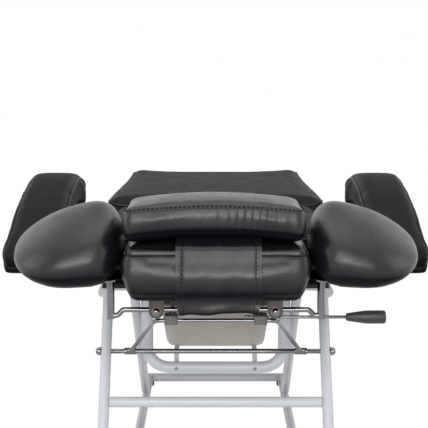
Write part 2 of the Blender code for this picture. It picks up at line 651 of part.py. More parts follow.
# Swing frame: one bent tube with a sleeve on the axle at each end
SWING_TOP_Y = CALF_ARM_Y
frame = tube([(-SWING_LOW_X, AXLE_Y, AXLE_Z), (-SWING_TOP_X, SWING_TOP_Y, SWING_TOP_Z),
              (SWING_TOP_X, SWING_TOP_Y, SWING_TOP_Z), (SWING_LOW_X, AXLE_Y, AXLE_Z)], SWING_RADIUS, SWING_BEND)
for side, label in SIDES:
    combine(frame, rod((side * SWING_LOW_X, AXLE_Y, AXLE_Z), (1, 0, 0), SLEEVE_RADIUS, SLEEVE_LENGTH), "UNION")
combine(frame, rod((0, AXLE_Y, AXLE_Z), (1, 0, 0), AXLE_RADIUS + RUN_GAP, 4 * SWING_LOW_X), "DIFFERENCE")
keep(frame, "swing_frame", CHROME, LEGREST_PIVOT)

# Leg rest pad on its board
LEGREST_BOARD_Z = LEGREST_BASE_Z - GAP - BOARD_THICKNESS
keep(board(LEGREST_WIDTH / 2, FOOT_Y, FOOT_Y + LEGREST_LENGTH, LEGREST_BASE_Z - GAP), "legrest_board", BLACK_BOARD,
     LEGREST_PIVOT)
legrest = cushion((LEGREST_WIDTH / 2, LEGREST_LENGTH / 2, LEGREST_THICKNESS / 2), LEGREST_EDGE, LEGREST_CROWN,
                  LEGREST_WAIST)
legrest.location = (0, FOOT_Y + LEGREST_LENGTH / 2, LEGREST_BASE_Z + LEGREST_THICKNESS / 2)
keep(legrest, "legrest_pad", LEATHERETTE, LEGREST_PIVOT)

# Brackets that clamp the calf arms, their bolts, and the clips that hold the swing frame
BRACKET_TOP_Z = LEGREST_BOARD_Z - GAP
BRACKET_FRONT_Y = CALF_ARM_Y - BRACKET_DEPTH * 0.6
CLIP_FRONT_Y = SWING_TOP_Y - SWING_RADIUS - CLIP_WALL
ROD_Y = SWING_TOP_Y + ROD_BEHIND
ROD_Z = SWING_TOP_Z + 0.003
for side, label in SIDES:
    half = BRACKET_WIDTH / 2
    bracket = block((side * BRACKET_X - half, BRACKET_FRONT_Y, CALF_ARM_Z),
                    (side * BRACKET_X + half, BRACKET_FRONT_Y + BRACKET_DEPTH, BRACKET_TOP_Z))
    lobe = rod((side * BRACKET_X, BRACKET_FRONT_Y + BRACKET_DEPTH / 2, CALF_ARM_Z), (0, 1, 0), half, BRACKET_DEPTH, 24)
    combine(bracket, lobe, "UNION")
    combine(bracket, rod((side * BRACKET_X, CALF_ARM_Y, CALF_ARM_Z), (1, 0, 0), CALF_ARM_RADIUS + RUN_GAP,
                         2 * BRACKET_WIDTH), "DIFFERENCE")
    combine(bracket, rod((side * BRACKET_X, CALF_ARM_Y - BRACKET_DEPTH, CALF_ARM_Z), (0, 1, 0), BOLT_RADIUS + GAP,
                         2 * BRACKET_DEPTH), "DIFFERENCE")
    keep(bracket, f"clamp_bracket_{label}", DARK_STEEL, LEGREST_PIVOT)
    shank = CALF_ARM_Y - CALF_ARM_RADIUS - GAP - BRACKET_FRONT_Y + GAP
    dome = [(DOME_RADIUS * math.cos(step * math.pi / 10), 0.003 + DOME_RADIUS * math.sin(step * math.pi / 10))
            for step in range(4, -1, -1)]
    bolt = turned([(0.0, 0.003 + DOME_RADIUS)] + dome + [(DOME_RADIUS * 1.25, 0.003), (DOME_RADIUS * 1.25, 0.0),
                  (BOLT_RADIUS, 0.0), (BOLT_RADIUS, -shank), (0.0, -shank)],
                  (side * BRACKET_X, BRACKET_FRONT_Y - GAP, CALF_ARM_Z), (0, -1, 0))
    keep(bolt, f"clamp_bolt_{label}", CHROME, LEGREST_PIVOT)
    near_x, far_x = sorted((side * CLIP_INNER_X, side * (CLIP_INNER_X + CLIP_WIDTH)))
    clip = block((near_x, CLIP_FRONT_Y, SWING_TOP_Z - SWING_RADIUS - CLIP_WALL),
                 (far_x, ROD_Y + ROD_RADIUS + CLIP_WALL, BRACKET_TOP_Z), 0.003)
    middle_x = side * (CLIP_INNER_X + CLIP_WIDTH / 2)
    for bore_y, bore_z, bore_radius in ((SWING_TOP_Y, SWING_TOP_Z, SWING_RADIUS + GAP),
                                        (CALF_ARM_Y, CALF_ARM_Z, CALF_ARM_RADIUS + RUN_GAP),
                                        (ROD_Y, ROD_Z, ROD_RADIUS + RUN_GAP)):
        combine(clip, rod((middle_x, bore_y, bore_z), (1, 0, 0), bore_radius, 2 * CLIP_WIDTH, 16), "DIFFERENCE")
    keep(clip, f"frame_clip_{label}", GREY_PLASTIC, LEGREST_PIVOT)

# Strap from under the cushion, down the front of the leg rest and up to its board
LEGREST_TOP_Z = LEGREST_BASE_Z + LEGREST_THICKNESS
STRAP_TUCK_Y = FOOT_Y + STRAP_TUCK
STRAP_ANCHOR_Y = FOOT_Y + BOARD_INSET + STRAP_ANCHOR
FAR = 1.0
strap_low_x, strap_high_x = STRAP_OFFSET - STRAP_WIDTH / 2, STRAP_OFFSET + STRAP_WIDTH / 2
pad_half_y, pad_half_z = LEGREST_LENGTH / 2, LEGREST_THICKNESS / 2
front_run = nearest_face(legrest, (strap_low_x, -FAR, -pad_half_z), (strap_high_x, -FAR, pad_half_z), (0, 1, 0))
top_run = nearest_face(legrest, (strap_low_x, -pad_half_y, FAR),
                       (strap_high_x, STRAP_TUCK_Y - FOOT_Y - pad_half_y, FAR), (0, 0, -1))
strap_front_y = legrest.location.y - FAR + front_run - GAP
strap_top_z = legrest.location.z + FAR - top_run + GAP
strap_low_z = LEGREST_BASE_Z - STRAP_DROP
strap_route = rounded_route([(0, STRAP_TUCK_Y, strap_top_z), (0, strap_front_y, strap_top_z),
                             (0, strap_front_y, strap_low_z), (0, STRAP_ANCHOR_Y, strap_low_z),
                             (0, STRAP_ANCHOR_Y, LEGREST_BOARD_Z - GAP)], STRAP_BEND)
bm = bmesh.new()
rows = [[bm.verts.new((STRAP_OFFSET + edge * STRAP_WIDTH / 2, point.y, point.z)) for edge in (-1, -0.5, 0, 0.5, 1)]
        for point in strap_route]
for row, after in zip(rows, rows[1:]):
    for left in range(len(row) - 1):
        bm.faces.new((row[left], row[left + 1], after[left + 1], after[left]))
strap_mesh = bpy.data.meshes.new("strap")
bm.to_mesh(strap_mesh)
bm.free()
strap = keep(bpy.data.objects.new("strap", strap_mesh), "strap", LEATHERETTE, LEGREST_PIVOT)
cloth = strap.modifiers.new("cloth", "SOLIDIFY")
cloth.thickness = STRAP_THICKNESS
cloth.offset = -1.0

# Cushion held by the strap
CUSHION_BASE_Z = max(strap_top_z + STRAP_THICKNESS, LEGREST_TOP_Z + LEGREST_CROWN) + GAP
loose = cushion((CUSHION_WIDTH / 2, CUSHION_LENGTH / 2, CUSHION_THICKNESS / 2), CUSHION_EDGE, CUSHION_CROWN,
                CUSHION_WAIST)
loose.location = (0, FOOT_Y + CUSHION_SETBACK + CUSHION_LENGTH / 2, CUSHION_BASE_Z + CUSHION_THICKNESS / 2)
keep(loose, "strap_cushion", LEATHERETTE, LEGREST_PIVOT)

# Calf rests: a cranked arm with its post and plate, and an egg-shaped pad

def calf_shape(bm, side):
    """Pull a subdivided cube into an egg with a flat base, whose dome leans towards the leg rest."""
    for vert in bm.verts:
        ball = vert.co.normalized()
        across, along, up = (math.copysign(abs(value) ** CALF_ROUNDNESS, value) for value in ball)
        spread = 1.0 - CALF_NARROWING * along - CALF_TWIST * side * across * along
        dome = (CALF_THICKNESS - CALF_BASE) * (1.0 - CALF_LEAN * side * across)
        height = up * dome if up > 0 else -CALF_BASE * min(1.0, abs(up) * CALF_FLATNESS)
        vert.co = (across * spread * CALF_WIDTH / 2, along * CALF_LENGTH / 2, height)


for side, label in SIDES:
    calf_pivot = pivot(f"calf_pivot_{label}", (side * CALF_POST_X, CALF_ARM_Y, CALF_ARM_Z))
    tilt = Matrix.Rotation(side * CALF_ROLL, 4, "Y") @ Matrix.Rotation(CALF_PITCH, 4, "X")
    centre = Vector((side * CALF_CENTRE_X, CALF_CENTRE_Y, CALF_CENTRE_Z))
    bm = bmesh.new()
    bmesh.ops.create_cube(bm, size=2.0)
    bmesh.ops.subdivide_edges(bm, edges=bm.edges, cuts=7, use_grid_fill=True)
    calf_shape(bm, side)
    bmesh.ops.transform(bm, matrix=Matrix.Translation(centre) @ tilt, verts=bm.verts)
    keep(from_bmesh(bm, "calf"), f"calf_pad_{label}", LEATHERETTE, calf_pivot)
    up = tilt.to_3x3() @ Vector((0, 0, 1))
    under = Vector((side * CALF_POST_X, CALF_ARM_Y, 0.0))
    offset = (Vector((under.x, under.y, centre.z)) - centre).dot(up)
    under.z = centre.z - (CALF_BASE + offset) / up.z
    low_z = CALF_ARM_Z - CALF_CRANK_DROP
    arm = tube([(side * CALF_ARM_INNER_X, CALF_ARM_Y, CALF_ARM_Z), (side * CALF_CRANK_X, CALF_ARM_Y, CALF_ARM_Z),
                (side * (CALF_CRANK_X + CALF_CRANK_DROP), CALF_ARM_Y, low_z), (side * CALF_POST_X, CALF_ARM_Y, low_z)],
               CALF_ARM_RADIUS, 0.007)
    post_top = under - up * (GAP + CALF_PLATE_THICKNESS)
    post = tube([(side * CALF_POST_X, CALF_ARM_Y, low_z - CALF_ARM_RADIUS * 1.2), post_top], CALF_POST_RADIUS)
    plate = rod(under - up * (GAP + CALF_PLATE_THICKNESS / 2), up, CALF_PLATE_RADIUS, CALF_PLATE_THICKNESS, 24)
    combine(arm, post, "UNION")
    keep(combine(arm, plate, "UNION"), f"calf_arm_{label}", CHROME, calf_pivot)

# Release rod and its tapered grip, on the right
ROD_INNER_X = CLIP_INNER_X - 0.020
release_pivot = pivot("release_pivot", (ROD_INNER_X, ROD_Y, ROD_Z))
rod_tip = ROD_END_X + GRIP_OVERLAP
keep(rod(((ROD_INNER_X + rod_tip) / 2, ROD_Y, ROD_Z), (1, 0, 0), ROD_RADIUS, rod_tip - ROD_INNER_X), "release_rod",
     CHROME, release_pivot)
bore = ROD_RADIUS + GAP
grip = turned(((0.0, GRIP_LENGTH), (GRIP_OUTER_RADIUS * 0.8, GRIP_LENGTH), (GRIP_OUTER_RADIUS, GRIP_LENGTH * 0.965),
               (GRIP_OUTER_RADIUS, GRIP_LENGTH * 0.55), (GRIP_OUTER_RADIUS * 0.96, GRIP_LENGTH * 0.45),
               (GRIP_INNER_RADIUS * 1.05, GRIP_LENGTH * 0.05), (GRIP_INNER_RADIUS * 0.9, 0.0), (bore, 0.0),
               (bore, GRIP_OVERLAP + GAP), (0.0, GRIP_OVERLAP + GAP)), (ROD_END_X, ROD_Y, ROD_Z), (1, 0, 0), 24)
keep(grip, "release_grip", BLACK_PLASTIC, release_pivot)

bpy.data.collections.remove(cutters)
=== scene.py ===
# %% [markdown]
# # A treatment bed, dressed from its frame
# The bed is seen along its length from the foot end: a leg rest with a strapped-on cushion in front,
# an egg-shaped calf rest on each side, and behind them the seat, the armrests and the long backrest.
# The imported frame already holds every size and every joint. This lesson adds what the frame can't:
# stuffed upholstery, seams and stitches, and a real finish on each surface.

# %% Load the frame
import json
import math

import bmesh
import bpy
from mathutils import Matrix, Vector
from mathutils.bvhtree import BVHTree
from mathutils.kdtree import KDTree


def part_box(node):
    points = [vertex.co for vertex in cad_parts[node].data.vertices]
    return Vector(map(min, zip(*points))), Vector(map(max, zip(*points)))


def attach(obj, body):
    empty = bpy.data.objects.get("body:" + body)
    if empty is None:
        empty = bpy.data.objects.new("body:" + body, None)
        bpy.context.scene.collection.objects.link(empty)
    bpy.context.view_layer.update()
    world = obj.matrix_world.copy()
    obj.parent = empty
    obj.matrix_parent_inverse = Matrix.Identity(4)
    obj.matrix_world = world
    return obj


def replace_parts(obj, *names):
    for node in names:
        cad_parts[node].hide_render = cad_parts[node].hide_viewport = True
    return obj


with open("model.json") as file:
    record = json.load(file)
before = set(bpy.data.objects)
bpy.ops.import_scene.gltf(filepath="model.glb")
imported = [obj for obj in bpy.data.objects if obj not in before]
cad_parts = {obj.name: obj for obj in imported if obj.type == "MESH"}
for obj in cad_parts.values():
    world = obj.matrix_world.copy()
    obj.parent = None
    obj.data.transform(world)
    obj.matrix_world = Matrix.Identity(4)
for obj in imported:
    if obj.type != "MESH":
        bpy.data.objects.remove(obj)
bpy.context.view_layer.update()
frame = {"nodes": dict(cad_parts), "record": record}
scene = bpy.context.scene
scene.view_settings.view_transform = "Standard"
SIDES = ((-1, "left"), (1, "right"))

# %% [markdown]
# ## The camera
# A product photograph like this is taken from a few metres away with a long lens, so the bed's length
# is squeezed and its far end is only a little smaller. A lens and a place could be guessed by eye. Here
# the place is measured from the foot end of the bed, and the tilt is the one at which the backrest's
# far edge shows just above the cushion.

# %% Camera
CAMERA_DISTANCE = 2.50
CAMERA_HEIGHT = 1.03
CAMERA_SIDESTEP = -0.0042
CAMERA_TILT = math.radians(7.9)
LENS = 99.84
FOOT_END_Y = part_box("legrest_pad")[0].y

lens = bpy.data.cameras.new("photo_lens")
lens.lens = LENS
lens.sensor_width = 36.0
camera = bpy.data.objects.new("photo_camera", lens)
camera.location = (CAMERA_SIDESTEP, FOOT_END_Y - CAMERA_DISTANCE, CAMERA_HEIGHT)
camera.rotation_euler = (math.pi / 2 - CAMERA_TILT, 0.0, 0.0)
scene.collection.objects.link(camera)
scene.camera = camera
print("camera at", [round(v, 3) for v in camera.location])

# %% [markdown]
# ## Node helpers
# A finish is a small network of nodes, and placing one node by hand takes four or five lines. These
# helpers place a node and fill its sockets in one line, with plain values or links from other nodes.

# %% Node helpers


def fill(tree, node, values):
    """Give a node's sockets plain values, or links from other nodes."""
    for key, value in values.items():
        if isinstance(value, bpy.types.NodeSocket):
            tree.links.new(value, node.inputs[key])
        else:
            node.inputs[key].default_value = value


def place_node(tree, kind, values=None, **settings):
    """Add a node, set its properties and fill its sockets."""
    made = tree.nodes.new(kind)
    for key, value in settings.items():
        setattr(made, key, value)
    fill(tree, made, values or {})
    return made


def arithmetic(tree, operation, first, second, clamp=False):
    return place_node(tree, "ShaderNodeMath", {0: first, 1: second},
                      operation=operation, use_clamp=clamp).outputs[0]


def remap(tree, value, low, high, to_low=0.0, to_high=1.0):
    return place_node(tree, "ShaderNodeMapRange", {"Value": value, "From Min": low, "From Max": high,
                                                   "To Min": to_low, "To Max": to_high}).outputs["Result"]


def cloudy(tree, place, scale, detail=3.0, roughness=0.5):
    return place_node(tree, "ShaderNodeTexNoise", {"Vector": place, "Scale": scale, "Detail": detail,
                                                   "Roughness": roughness}).outputs["Fac"]


print("node helpers ready")

# %% [markdown]
# ## Floor, sky and lamps
# Black upholstery shows its form only through what it mirrors, so the lamps are large soft panels: one
# above the bed, one on each side, and two behind the camera. The tall one lights the fronts, and the low
# strip puts the bright band on the leg rest and the calf rests. The background has to be white without
# more light on the bed, so the sky and most of the floor's colour are white only for rays from the
# camera, a mirror or glass.

# %% Floor and sky
FLOOR_SIZE = 30.0
FLOOR_SHADOW_SHARE = 0.03
FLOOR_PAINT = (0.88, 0.88, 0.88, 1.0)
SKY_COLOUR = (0.96, 0.98, 1.0, 1.0)
SKY_STRENGTH = 0.25
WHITE = (1.0, 1.0, 1.0, 1.0)


def white_when_seen(tree, lit, white, share, output):
    """Show white, by a share, to rays from the camera, a mirror or glass, and the lit shader to others."""
    path = place_node(tree, "ShaderNodeLightPath").outputs
    mirrored = arithmetic(tree, "MAXIMUM", path["Is Camera Ray"], path["Is Glossy Ray"])
    seen = arithmetic(tree, "MAXIMUM", mirrored, path["Is Transmission Ray"])
    mask = arithmetic(tree, "MULTIPLY", seen, share)
    mix = place_node(tree, "ShaderNodeMixShader", {0: mask, 1: lit.outputs[0], 2: white.outputs[0]})
    place_node(tree, output, {"Surface": mix.outputs[0]})


floor_finish = bpy.data.materials.new("pale_floor")
floor_finish.use_nodes = True
tree = floor_finish.node_tree
tree.nodes.clear()
seen_share = 1.0 - FLOOR_SHADOW_SHARE
white_when_seen(tree, place_node(tree, "ShaderNodeBsdfDiffuse", {"Color": FLOOR_PAINT}),
                place_node(tree, "ShaderNodeEmission", {"Color": WHITE, "Strength": 1.0 / seen_share}),
                seen_share, "ShaderNodeOutputMaterial")
floor_mesh = bpy.data.meshes.new("floor")
edge = FLOOR_SIZE / 2
floor_mesh.from_pydata([(-edge, -edge, 0), (edge, -edge, 0), (edge, edge, 0), (-edge, edge, 0)], [],
                       [(0, 1, 2, 3)])
floor_mesh.materials.append(floor_finish)
floor = bpy.data.objects.new("floor", floor_mesh)
scene.collection.objects.link(floor)

world = bpy.data.worlds.new("white_studio")
scene.world = world
world.use_nodes = True
tree = world.node_tree
tree.nodes.clear()
white_when_seen(tree, place_node(tree, "ShaderNodeBackground", {"Color": SKY_COLOUR, "Strength": SKY_STRENGTH}),
                place_node(tree, "ShaderNodeBackground", {"Color": WHITE, "Strength": 1.0}),
                1.0, "ShaderNodeOutputWorld")
print("white floor and sky")

# %% Lamps
PURE_WHITE = (1.0, 1.0, 1.0)
COOL_WHITE = (0.93, 0.96, 1.0)
LEGREST_FRONT = (0.0, FOOT_END_Y, 0.55)


def panel_lamp(name, place, target, size, watts, tint=PURE_WHITE):
    """A soft rectangular lamp at a place, turned to face a target."""
    light = bpy.data.lights.new(name, "AREA")
    light.shape = "RECTANGLE"
    light.size, light.size_y = size
    light.energy = watts
    light.color = tint
    lamp = bpy.data.objects.new(name, light)
    lamp.location = place
    lamp.rotation_euler = (Vector(target) - Vector(place)).to_track_quat("-Z", "Y").to_euler()
    scene.collection.objects.link(lamp)


panel_lamp("overhead_panel", (0.0, -0.2, 3.0), (0.0, 0.0, 0.5), (2.6, 3.2), 26)
panel_lamp("front_panel", (-0.2, -3.9, 2.30), LEGREST_FRONT, (3.0, 1.4), 36)
panel_lamp("front_strip", (-0.4, -4.0, 1.20), LEGREST_FRONT, (3.0, 0.40), 50)
for side, _ in SIDES:
    panel_lamp(f"side_panel_{side}", (side * 2.6, -0.8, 1.3), (0.0, -0.3, 0.5), (1.6, 1.8), 12, COOL_WHITE)
print("five soft panels")

# %% [markdown]
# ## Shared surface effects
# Every finish here is one Principled shader plus a few small effects: pebbled grain, rubbed edges, dust,
# fine scratches and moulded speckle. The dust effect also gives out a painted shade: a mask by which way a
# face turns, which dims the shine of flat tops and of faces that turn under. Each effect could be drawn
# again in every material. As a node group it is built once, and a material only sets its scale and
# strength. A group gives out masks and heights, and the shader itself stays in the material.

# %% Group helpers


def start_group(name, numbers, outputs):
    """A shader node group that takes a place on the surface and some numbers, and gives out values."""
    tree = bpy.data.node_groups.new(name, "ShaderNodeTree")
    tree.interface.new_socket("Place", in_out="INPUT", socket_type="NodeSocketVector")
    for label, start in numbers.items():
        tree.interface.new_socket(label, in_out="INPUT", socket_type="NodeSocketFloat").default_value = start
    for label in outputs:
        tree.interface.new_socket(label, in_out="OUTPUT", socket_type="NodeSocketFloat")
    return tree, tree.nodes.new("NodeGroupInput").outputs, tree.nodes.new("NodeGroupOutput").inputs


def give_out(tree, given, **values):
    """Link a group's results to its outputs."""
    for label, value in values.items():
        tree.links.new(value, given[label])
    print("group", tree.name)


# %% Grain of the leatherette
GRAIN, taken, given = start_group("leatherette_grain", {"Pebbles": 620.0}, ("Height", "Shade", "Wear"))
place = taken["Place"]
wobble = place_node(GRAIN, "ShaderNodeTexNoise", {"Vector": place, "Scale": 140.0, "Detail": 2.0})
shifted = place_node(GRAIN, "ShaderNodeVectorMath",
                     {0: wobble.outputs["Color"], 1: (0.006, 0.006, 0.006)}, operation="MULTIPLY")
uneven = place_node(GRAIN, "ShaderNodeVectorMath", {0: place, 1: shifted.outputs[0]}, operation="ADD")
pebble = place_node(GRAIN, "ShaderNodeTexVoronoi",
                    {"Vector": uneven.outputs[0], "Scale": taken["Pebbles"]}, feature="DISTANCE_TO_EDGE")
valley = remap(GRAIN, pebble.outputs["Distance"], 0.0, 0.22)
pores = arithmetic(GRAIN, "MULTIPLY", cloudy(GRAIN, place, 2600.0, 2.0), 0.35)
give_out(GRAIN, given, Height=arithmetic(GRAIN, "ADD", valley, pores),
         Shade=remap(GRAIN, cloudy(GRAIN, place, 9.0, 5.0, 0.6), 0.3, 0.72),
         Wear=remap(GRAIN, cloudy(GRAIN, place, 26.0, 6.0, 0.62), 0.42, 0.75))

# %% Rubbed edges
EDGES, taken, given = start_group("rubbed_edges", {"Reach": 0.05}, ("Mask",))
bend = place_node(EDGES, "ShaderNodeNewGeometry").outputs["Pointiness"]
sharp = arithmetic(EDGES, "DIVIDE", arithmetic(EDGES, "SUBTRACT", bend, 0.5), taken["Reach"], True)
broken = remap(EDGES, cloudy(EDGES, taken["Place"], 180.0, 6.0, 0.65), 0.40, 0.62)
give_out(EDGES, given, Mask=arithmetic(EDGES, "MULTIPLY", sharp, broken, True))

# %% Dust, smudges and painted shade by facing
DUST_AND_SHADE, taken, given = start_group("dust_smudge_and_painted_shade", {"Amount": 0.3}, ("Dust", "Smudge", "Wiped"))
place = taken["Place"]
normal = place_node(DUST_AND_SHADE, "ShaderNodeNewGeometry").outputs["Normal"]
facing = place_node(DUST_AND_SHADE, "ShaderNodeSeparateXYZ", {0: normal}).outputs["Z"]
settled = remap(DUST_AND_SHADE, cloudy(DUST_AND_SHADE, place, 60.0, 8.0, 0.7), 0.35, 0.75)
film = arithmetic(DUST_AND_SHADE, "MULTIPLY", remap(DUST_AND_SHADE, facing, 0.2, 1.0), settled)
# Painted shade: less shine where a face turns under or lies flat on top, standing in for darker light there.
painted_shade_under = remap(DUST_AND_SHADE, facing, -0.50, -0.08, 0.04, 1.0)
painted_shade_on_top = remap(DUST_AND_SHADE, facing, 0.80, 0.98, 1.0, 0.26)
give_out(DUST_AND_SHADE, given, Dust=arithmetic(DUST_AND_SHADE, "MULTIPLY", film, taken["Amount"], True),
         Smudge=remap(DUST_AND_SHADE, cloudy(DUST_AND_SHADE, place, 14.0, 4.0, 0.55), 0.38, 0.7),
         Wiped=arithmetic(DUST_AND_SHADE, "MULTIPLY", painted_shade_under, painted_shade_on_top))

# %% Fine scratches
SCRATCHES, taken, given = start_group("fine_scratches", {"Along": 40.0, "Across": 900.0}, ("Height", "Rough"))
aspect = place_node(SCRATCHES, "ShaderNodeCombineXYZ",
                    {0: taken["Along"], 1: taken["Across"], 2: taken["Across"]}).outputs[0]
drawn = place_node(SCRATCHES, "ShaderNodeVectorMath", {0: taken["Place"], 1: aspect}, operation="MULTIPLY")
lines = cloudy(SCRATCHES, drawn.outputs[0], 1.0, 4.0, 0.6)
give_out(SCRATCHES, given, Height=lines, Rough=remap(SCRATCHES, lines, 0.35, 0.7))

# %% Speckle of moulded and sprayed surfaces
SPECKLE, taken, given = start_group("moulded_speckle", {"Size": 900.0}, ("Height", "Mottle"))
give_out(SPECKLE, given, Height=cloudy(SPECKLE, taken["Place"], taken["Size"], 2.0, 0.4),
         Mottle=remap(SPECKLE, cloudy(SPECKLE, taken["Place"], 17.0, 6.0, 0.6), 0.3, 0.7))

# %% [markdown]
# ## Upholstery finishes
# The covers are black leatherette: a coated cloth with a fine pebble, soft highlights and slightly greyer,
# drier patches where it is handled. The pads near the camera are satin, and those behind are matte. A flat
# black would lose all of this. So the pebble goes into a bump, and the patches go into colour and
# roughness. The piping has a finish between the two. The thread is duller, so that stitches show dark.

# %% Helpers for the finishes


def blank_finish(name):
    """A material with its Principled shader, and the place of each point on the piece in metres."""
    material = bpy.data.materials.new(name)
    material.use_nodes = True
    tree = material.node_tree
    place = place_node(tree, "ShaderNodeTexCoord").outputs["Object"]
    return material, tree, tree.nodes["Principled BSDF"], place


def use_effect(tree, effect, place, **numbers):
    """Put a shared effect in a material and set its numbers."""
    return place_node(tree, "ShaderNodeGroup", {"Place": place, **numbers}, node_tree=effect).outputs


def blend_colour(tree, mask, first, second):
    """A colour that goes from the first to the second by a mask. Either may come from another node."""
    made = place_node(tree, "ShaderNodeMix", {"Factor": mask}, data_type="RGBA")
    sockets = [index for index, socket in enumerate(made.inputs) if socket.type == "RGBA"]
    for index, value in zip(sockets, (first, second)):
        fill(tree, made, {index: value if isinstance(value, bpy.types.NodeSocket) else (*value, 1.0)})
    return next(socket for socket in made.outputs if socket.type == "RGBA")


def bumped(tree, height, depth, strength=1.0):
    return place_node(tree, "ShaderNodeBump",
                      {"Height": height, "Distance": depth, "Strength": strength}).outputs[0]


print("finish helpers ready")

# %% Leatherette, piping and thread
DUST_ON_BLACK = (0.10, 0.10, 0.10)


def leatherette(name, dark, worn, rough, shine, pebbles, depth):
    """A coated cloth that shines where it stands upright, with painted shade: less shine on flat tops and where
    it turns under.
    """
    material, tree, shader, place = blank_finish(name)
    grain = use_effect(tree, GRAIN, place, Pebbles=pebbles)
    dust_and_shade = use_effect(tree, DUST_AND_SHADE, place, Amount=0.04)
    shaded = blend_colour(tree, arithmetic(tree, "MULTIPLY", grain["Shade"], 0.6), dark, worn)
    handled = blend_colour(tree, arithmetic(tree, "MULTIPLY", grain["Wear"], 0.12), shaded, worn)
    satin = remap(tree, grain["Wear"], 0.0, 1.0, rough - 0.03, rough + 0.07)
    smeared = arithmetic(tree, "MULTIPLY", dust_and_shade["Smudge"], 0.04)
    fill(tree, shader, {"Base Color": blend_colour(tree, dust_and_shade["Dust"], handled, DUST_ON_BLACK),
                        "Roughness": arithmetic(tree, "ADD", satin, smeared),
                        # The shine is scaled by the painted shade mask, dimmer on flat tops and on undersides.
                        "Specular IOR Level": arithmetic(tree, "MULTIPLY", dust_and_shade["Wiped"], shine),
                        "Normal": bumped(tree, grain["Height"], depth)})
    return material


def sewing_thread():
    """Twisted black thread."""
    material, tree, shader, place = blank_finish("black_thread")
    twist = use_effect(tree, SCRATCHES, place, Along=900.0, Across=2400.0)
    strands = blend_colour(tree, twist["Rough"], (0.002, 0.002, 0.002), (0.006, 0.006, 0.006))
    fill(tree, shader, {"Base Color": strands, "Roughness": 0.8, "Specular IOR Level": 0.1,
                        "Normal": bumped(tree, twist["Height"], 0.0002)})
    return material


BLACK_LEATHERETTE = leatherette("satin_leatherette", (0.0062, 0.0065, 0.0085), (0.012, 0.0125, 0.0150),
                                rough=0.27, shine=0.47, pebbles=720.0, depth=0.00004)
MATTE_LEATHERETTE = leatherette("matte_leatherette", (0.0100, 0.0097, 0.0100), (0.016, 0.0155, 0.016),
                                rough=0.48, shine=0.10, pebbles=560.0, depth=0.00010)
PIPING = leatherette("piping_leatherette", (0.006, 0.006, 0.007), (0.012, 0.012, 0.013),
                     rough=0.36, shine=0.30, pebbles=900.0, depth=0.00006)
THREAD = sewing_thread()
print("upholstery finishes", BLACK_LEATHERETTE.name, MATTE_LEATHERETTE.name, PIPING.name, THREAD.name)

# %% [markdown]
# ## Metal and plastic finishes
# The base is sprayed white tube, the leg rest hardware is chrome, its clamp brackets are dark plated
# steel, and the basin is cream plastic. The chrome's colour is kept far darker than bright chrome: a
# painted shade, for the dark surroundings it mirrors. One plain colour each would look like one toy
# plastic. Sprayed paint has a faint orange peel and thin edges, chrome has hairline scratches and finger
# marks, and moulded plastic has a fine speckle, so two recipes are set differently for each of them.

# %% Powder coat and plastics
DUST_ON_HARD = (0.42, 0.41, 0.39)


def speckled(name, colour, mottled, edge_colour, rough, size, depth, edge_reach, dust_amount):
    """A sprayed or moulded surface with soft mottling, rubbed edges and a little dust."""
    material, tree, shader, place = blank_finish(name)
    speckle = use_effect(tree, SPECKLE, place, Size=size)
    edges = use_effect(tree, EDGES, place, Reach=edge_reach)
    dust_and_shade = use_effect(tree, DUST_AND_SHADE, place, Amount=dust_amount)
    body = blend_colour(tree, speckle["Mottle"], colour, mottled)
    rubbed = blend_colour(tree, edges["Mask"], body, edge_colour)
    fill(tree, shader, {"Base Color": blend_colour(tree, dust_and_shade["Dust"], rubbed, DUST_ON_HARD),
                        "Roughness": remap(tree, dust_and_shade["Smudge"], 0.0, 1.0, rough - 0.05, rough + 0.09),
                        "Normal": bumped(tree, speckle["Height"], depth)})
    return material


WHITE_PAINT = speckled("white_tube_paint", (0.70, 0.713, 0.75), (0.685, 0.70, 0.735), (0.62, 0.62, 0.63),
                       rough=0.32, size=520.0, depth=0.00005, edge_reach=0.25, dust_amount=0.02)
CREAM_PLASTIC = speckled("moulded_cream", (0.56, 0.505, 0.465), (0.52, 0.465, 0.425), (0.68, 0.65, 0.58),
                         rough=0.40, size=1100.0, depth=0.00006, edge_reach=0.15, dust_amount=0.15)
BLACK_PLASTIC = speckled("moulded_black", (0.016, 0.016, 0.018), (0.024, 0.024, 0.026), (0.06, 0.06, 0.062),
                         rough=0.42, size=1500.0, depth=0.00010, edge_reach=0.10, dust_amount=0.15)
GREY_PLASTIC = speckled("moulded_grey", (0.085, 0.085, 0.083), (0.11, 0.11, 0.105), (0.17, 0.17, 0.165),
                        rough=0.45, size=1300.0, depth=0.00010, edge_reach=0.10, dust_amount=0.2)
RUBBER = speckled("black_rubber", (0.018, 0.018, 0.018), (0.032, 0.031, 0.030), (0.05, 0.05, 0.05),
                  rough=0.70, size=900.0, depth=0.00020, edge_reach=0.10, dust_amount=0.5)
BOARD_CLOTH = speckled("black_dust_cloth", (0.012, 0.012, 0.012), (0.02, 0.02, 0.02), (0.03, 0.03, 0.03),
                       rough=0.85, size=1600.0, depth=0.0003, edge_reach=0.10, dust_amount=0.2)
print("paint, plastic, rubber and dust cloth")

# %% Chrome and plated steel


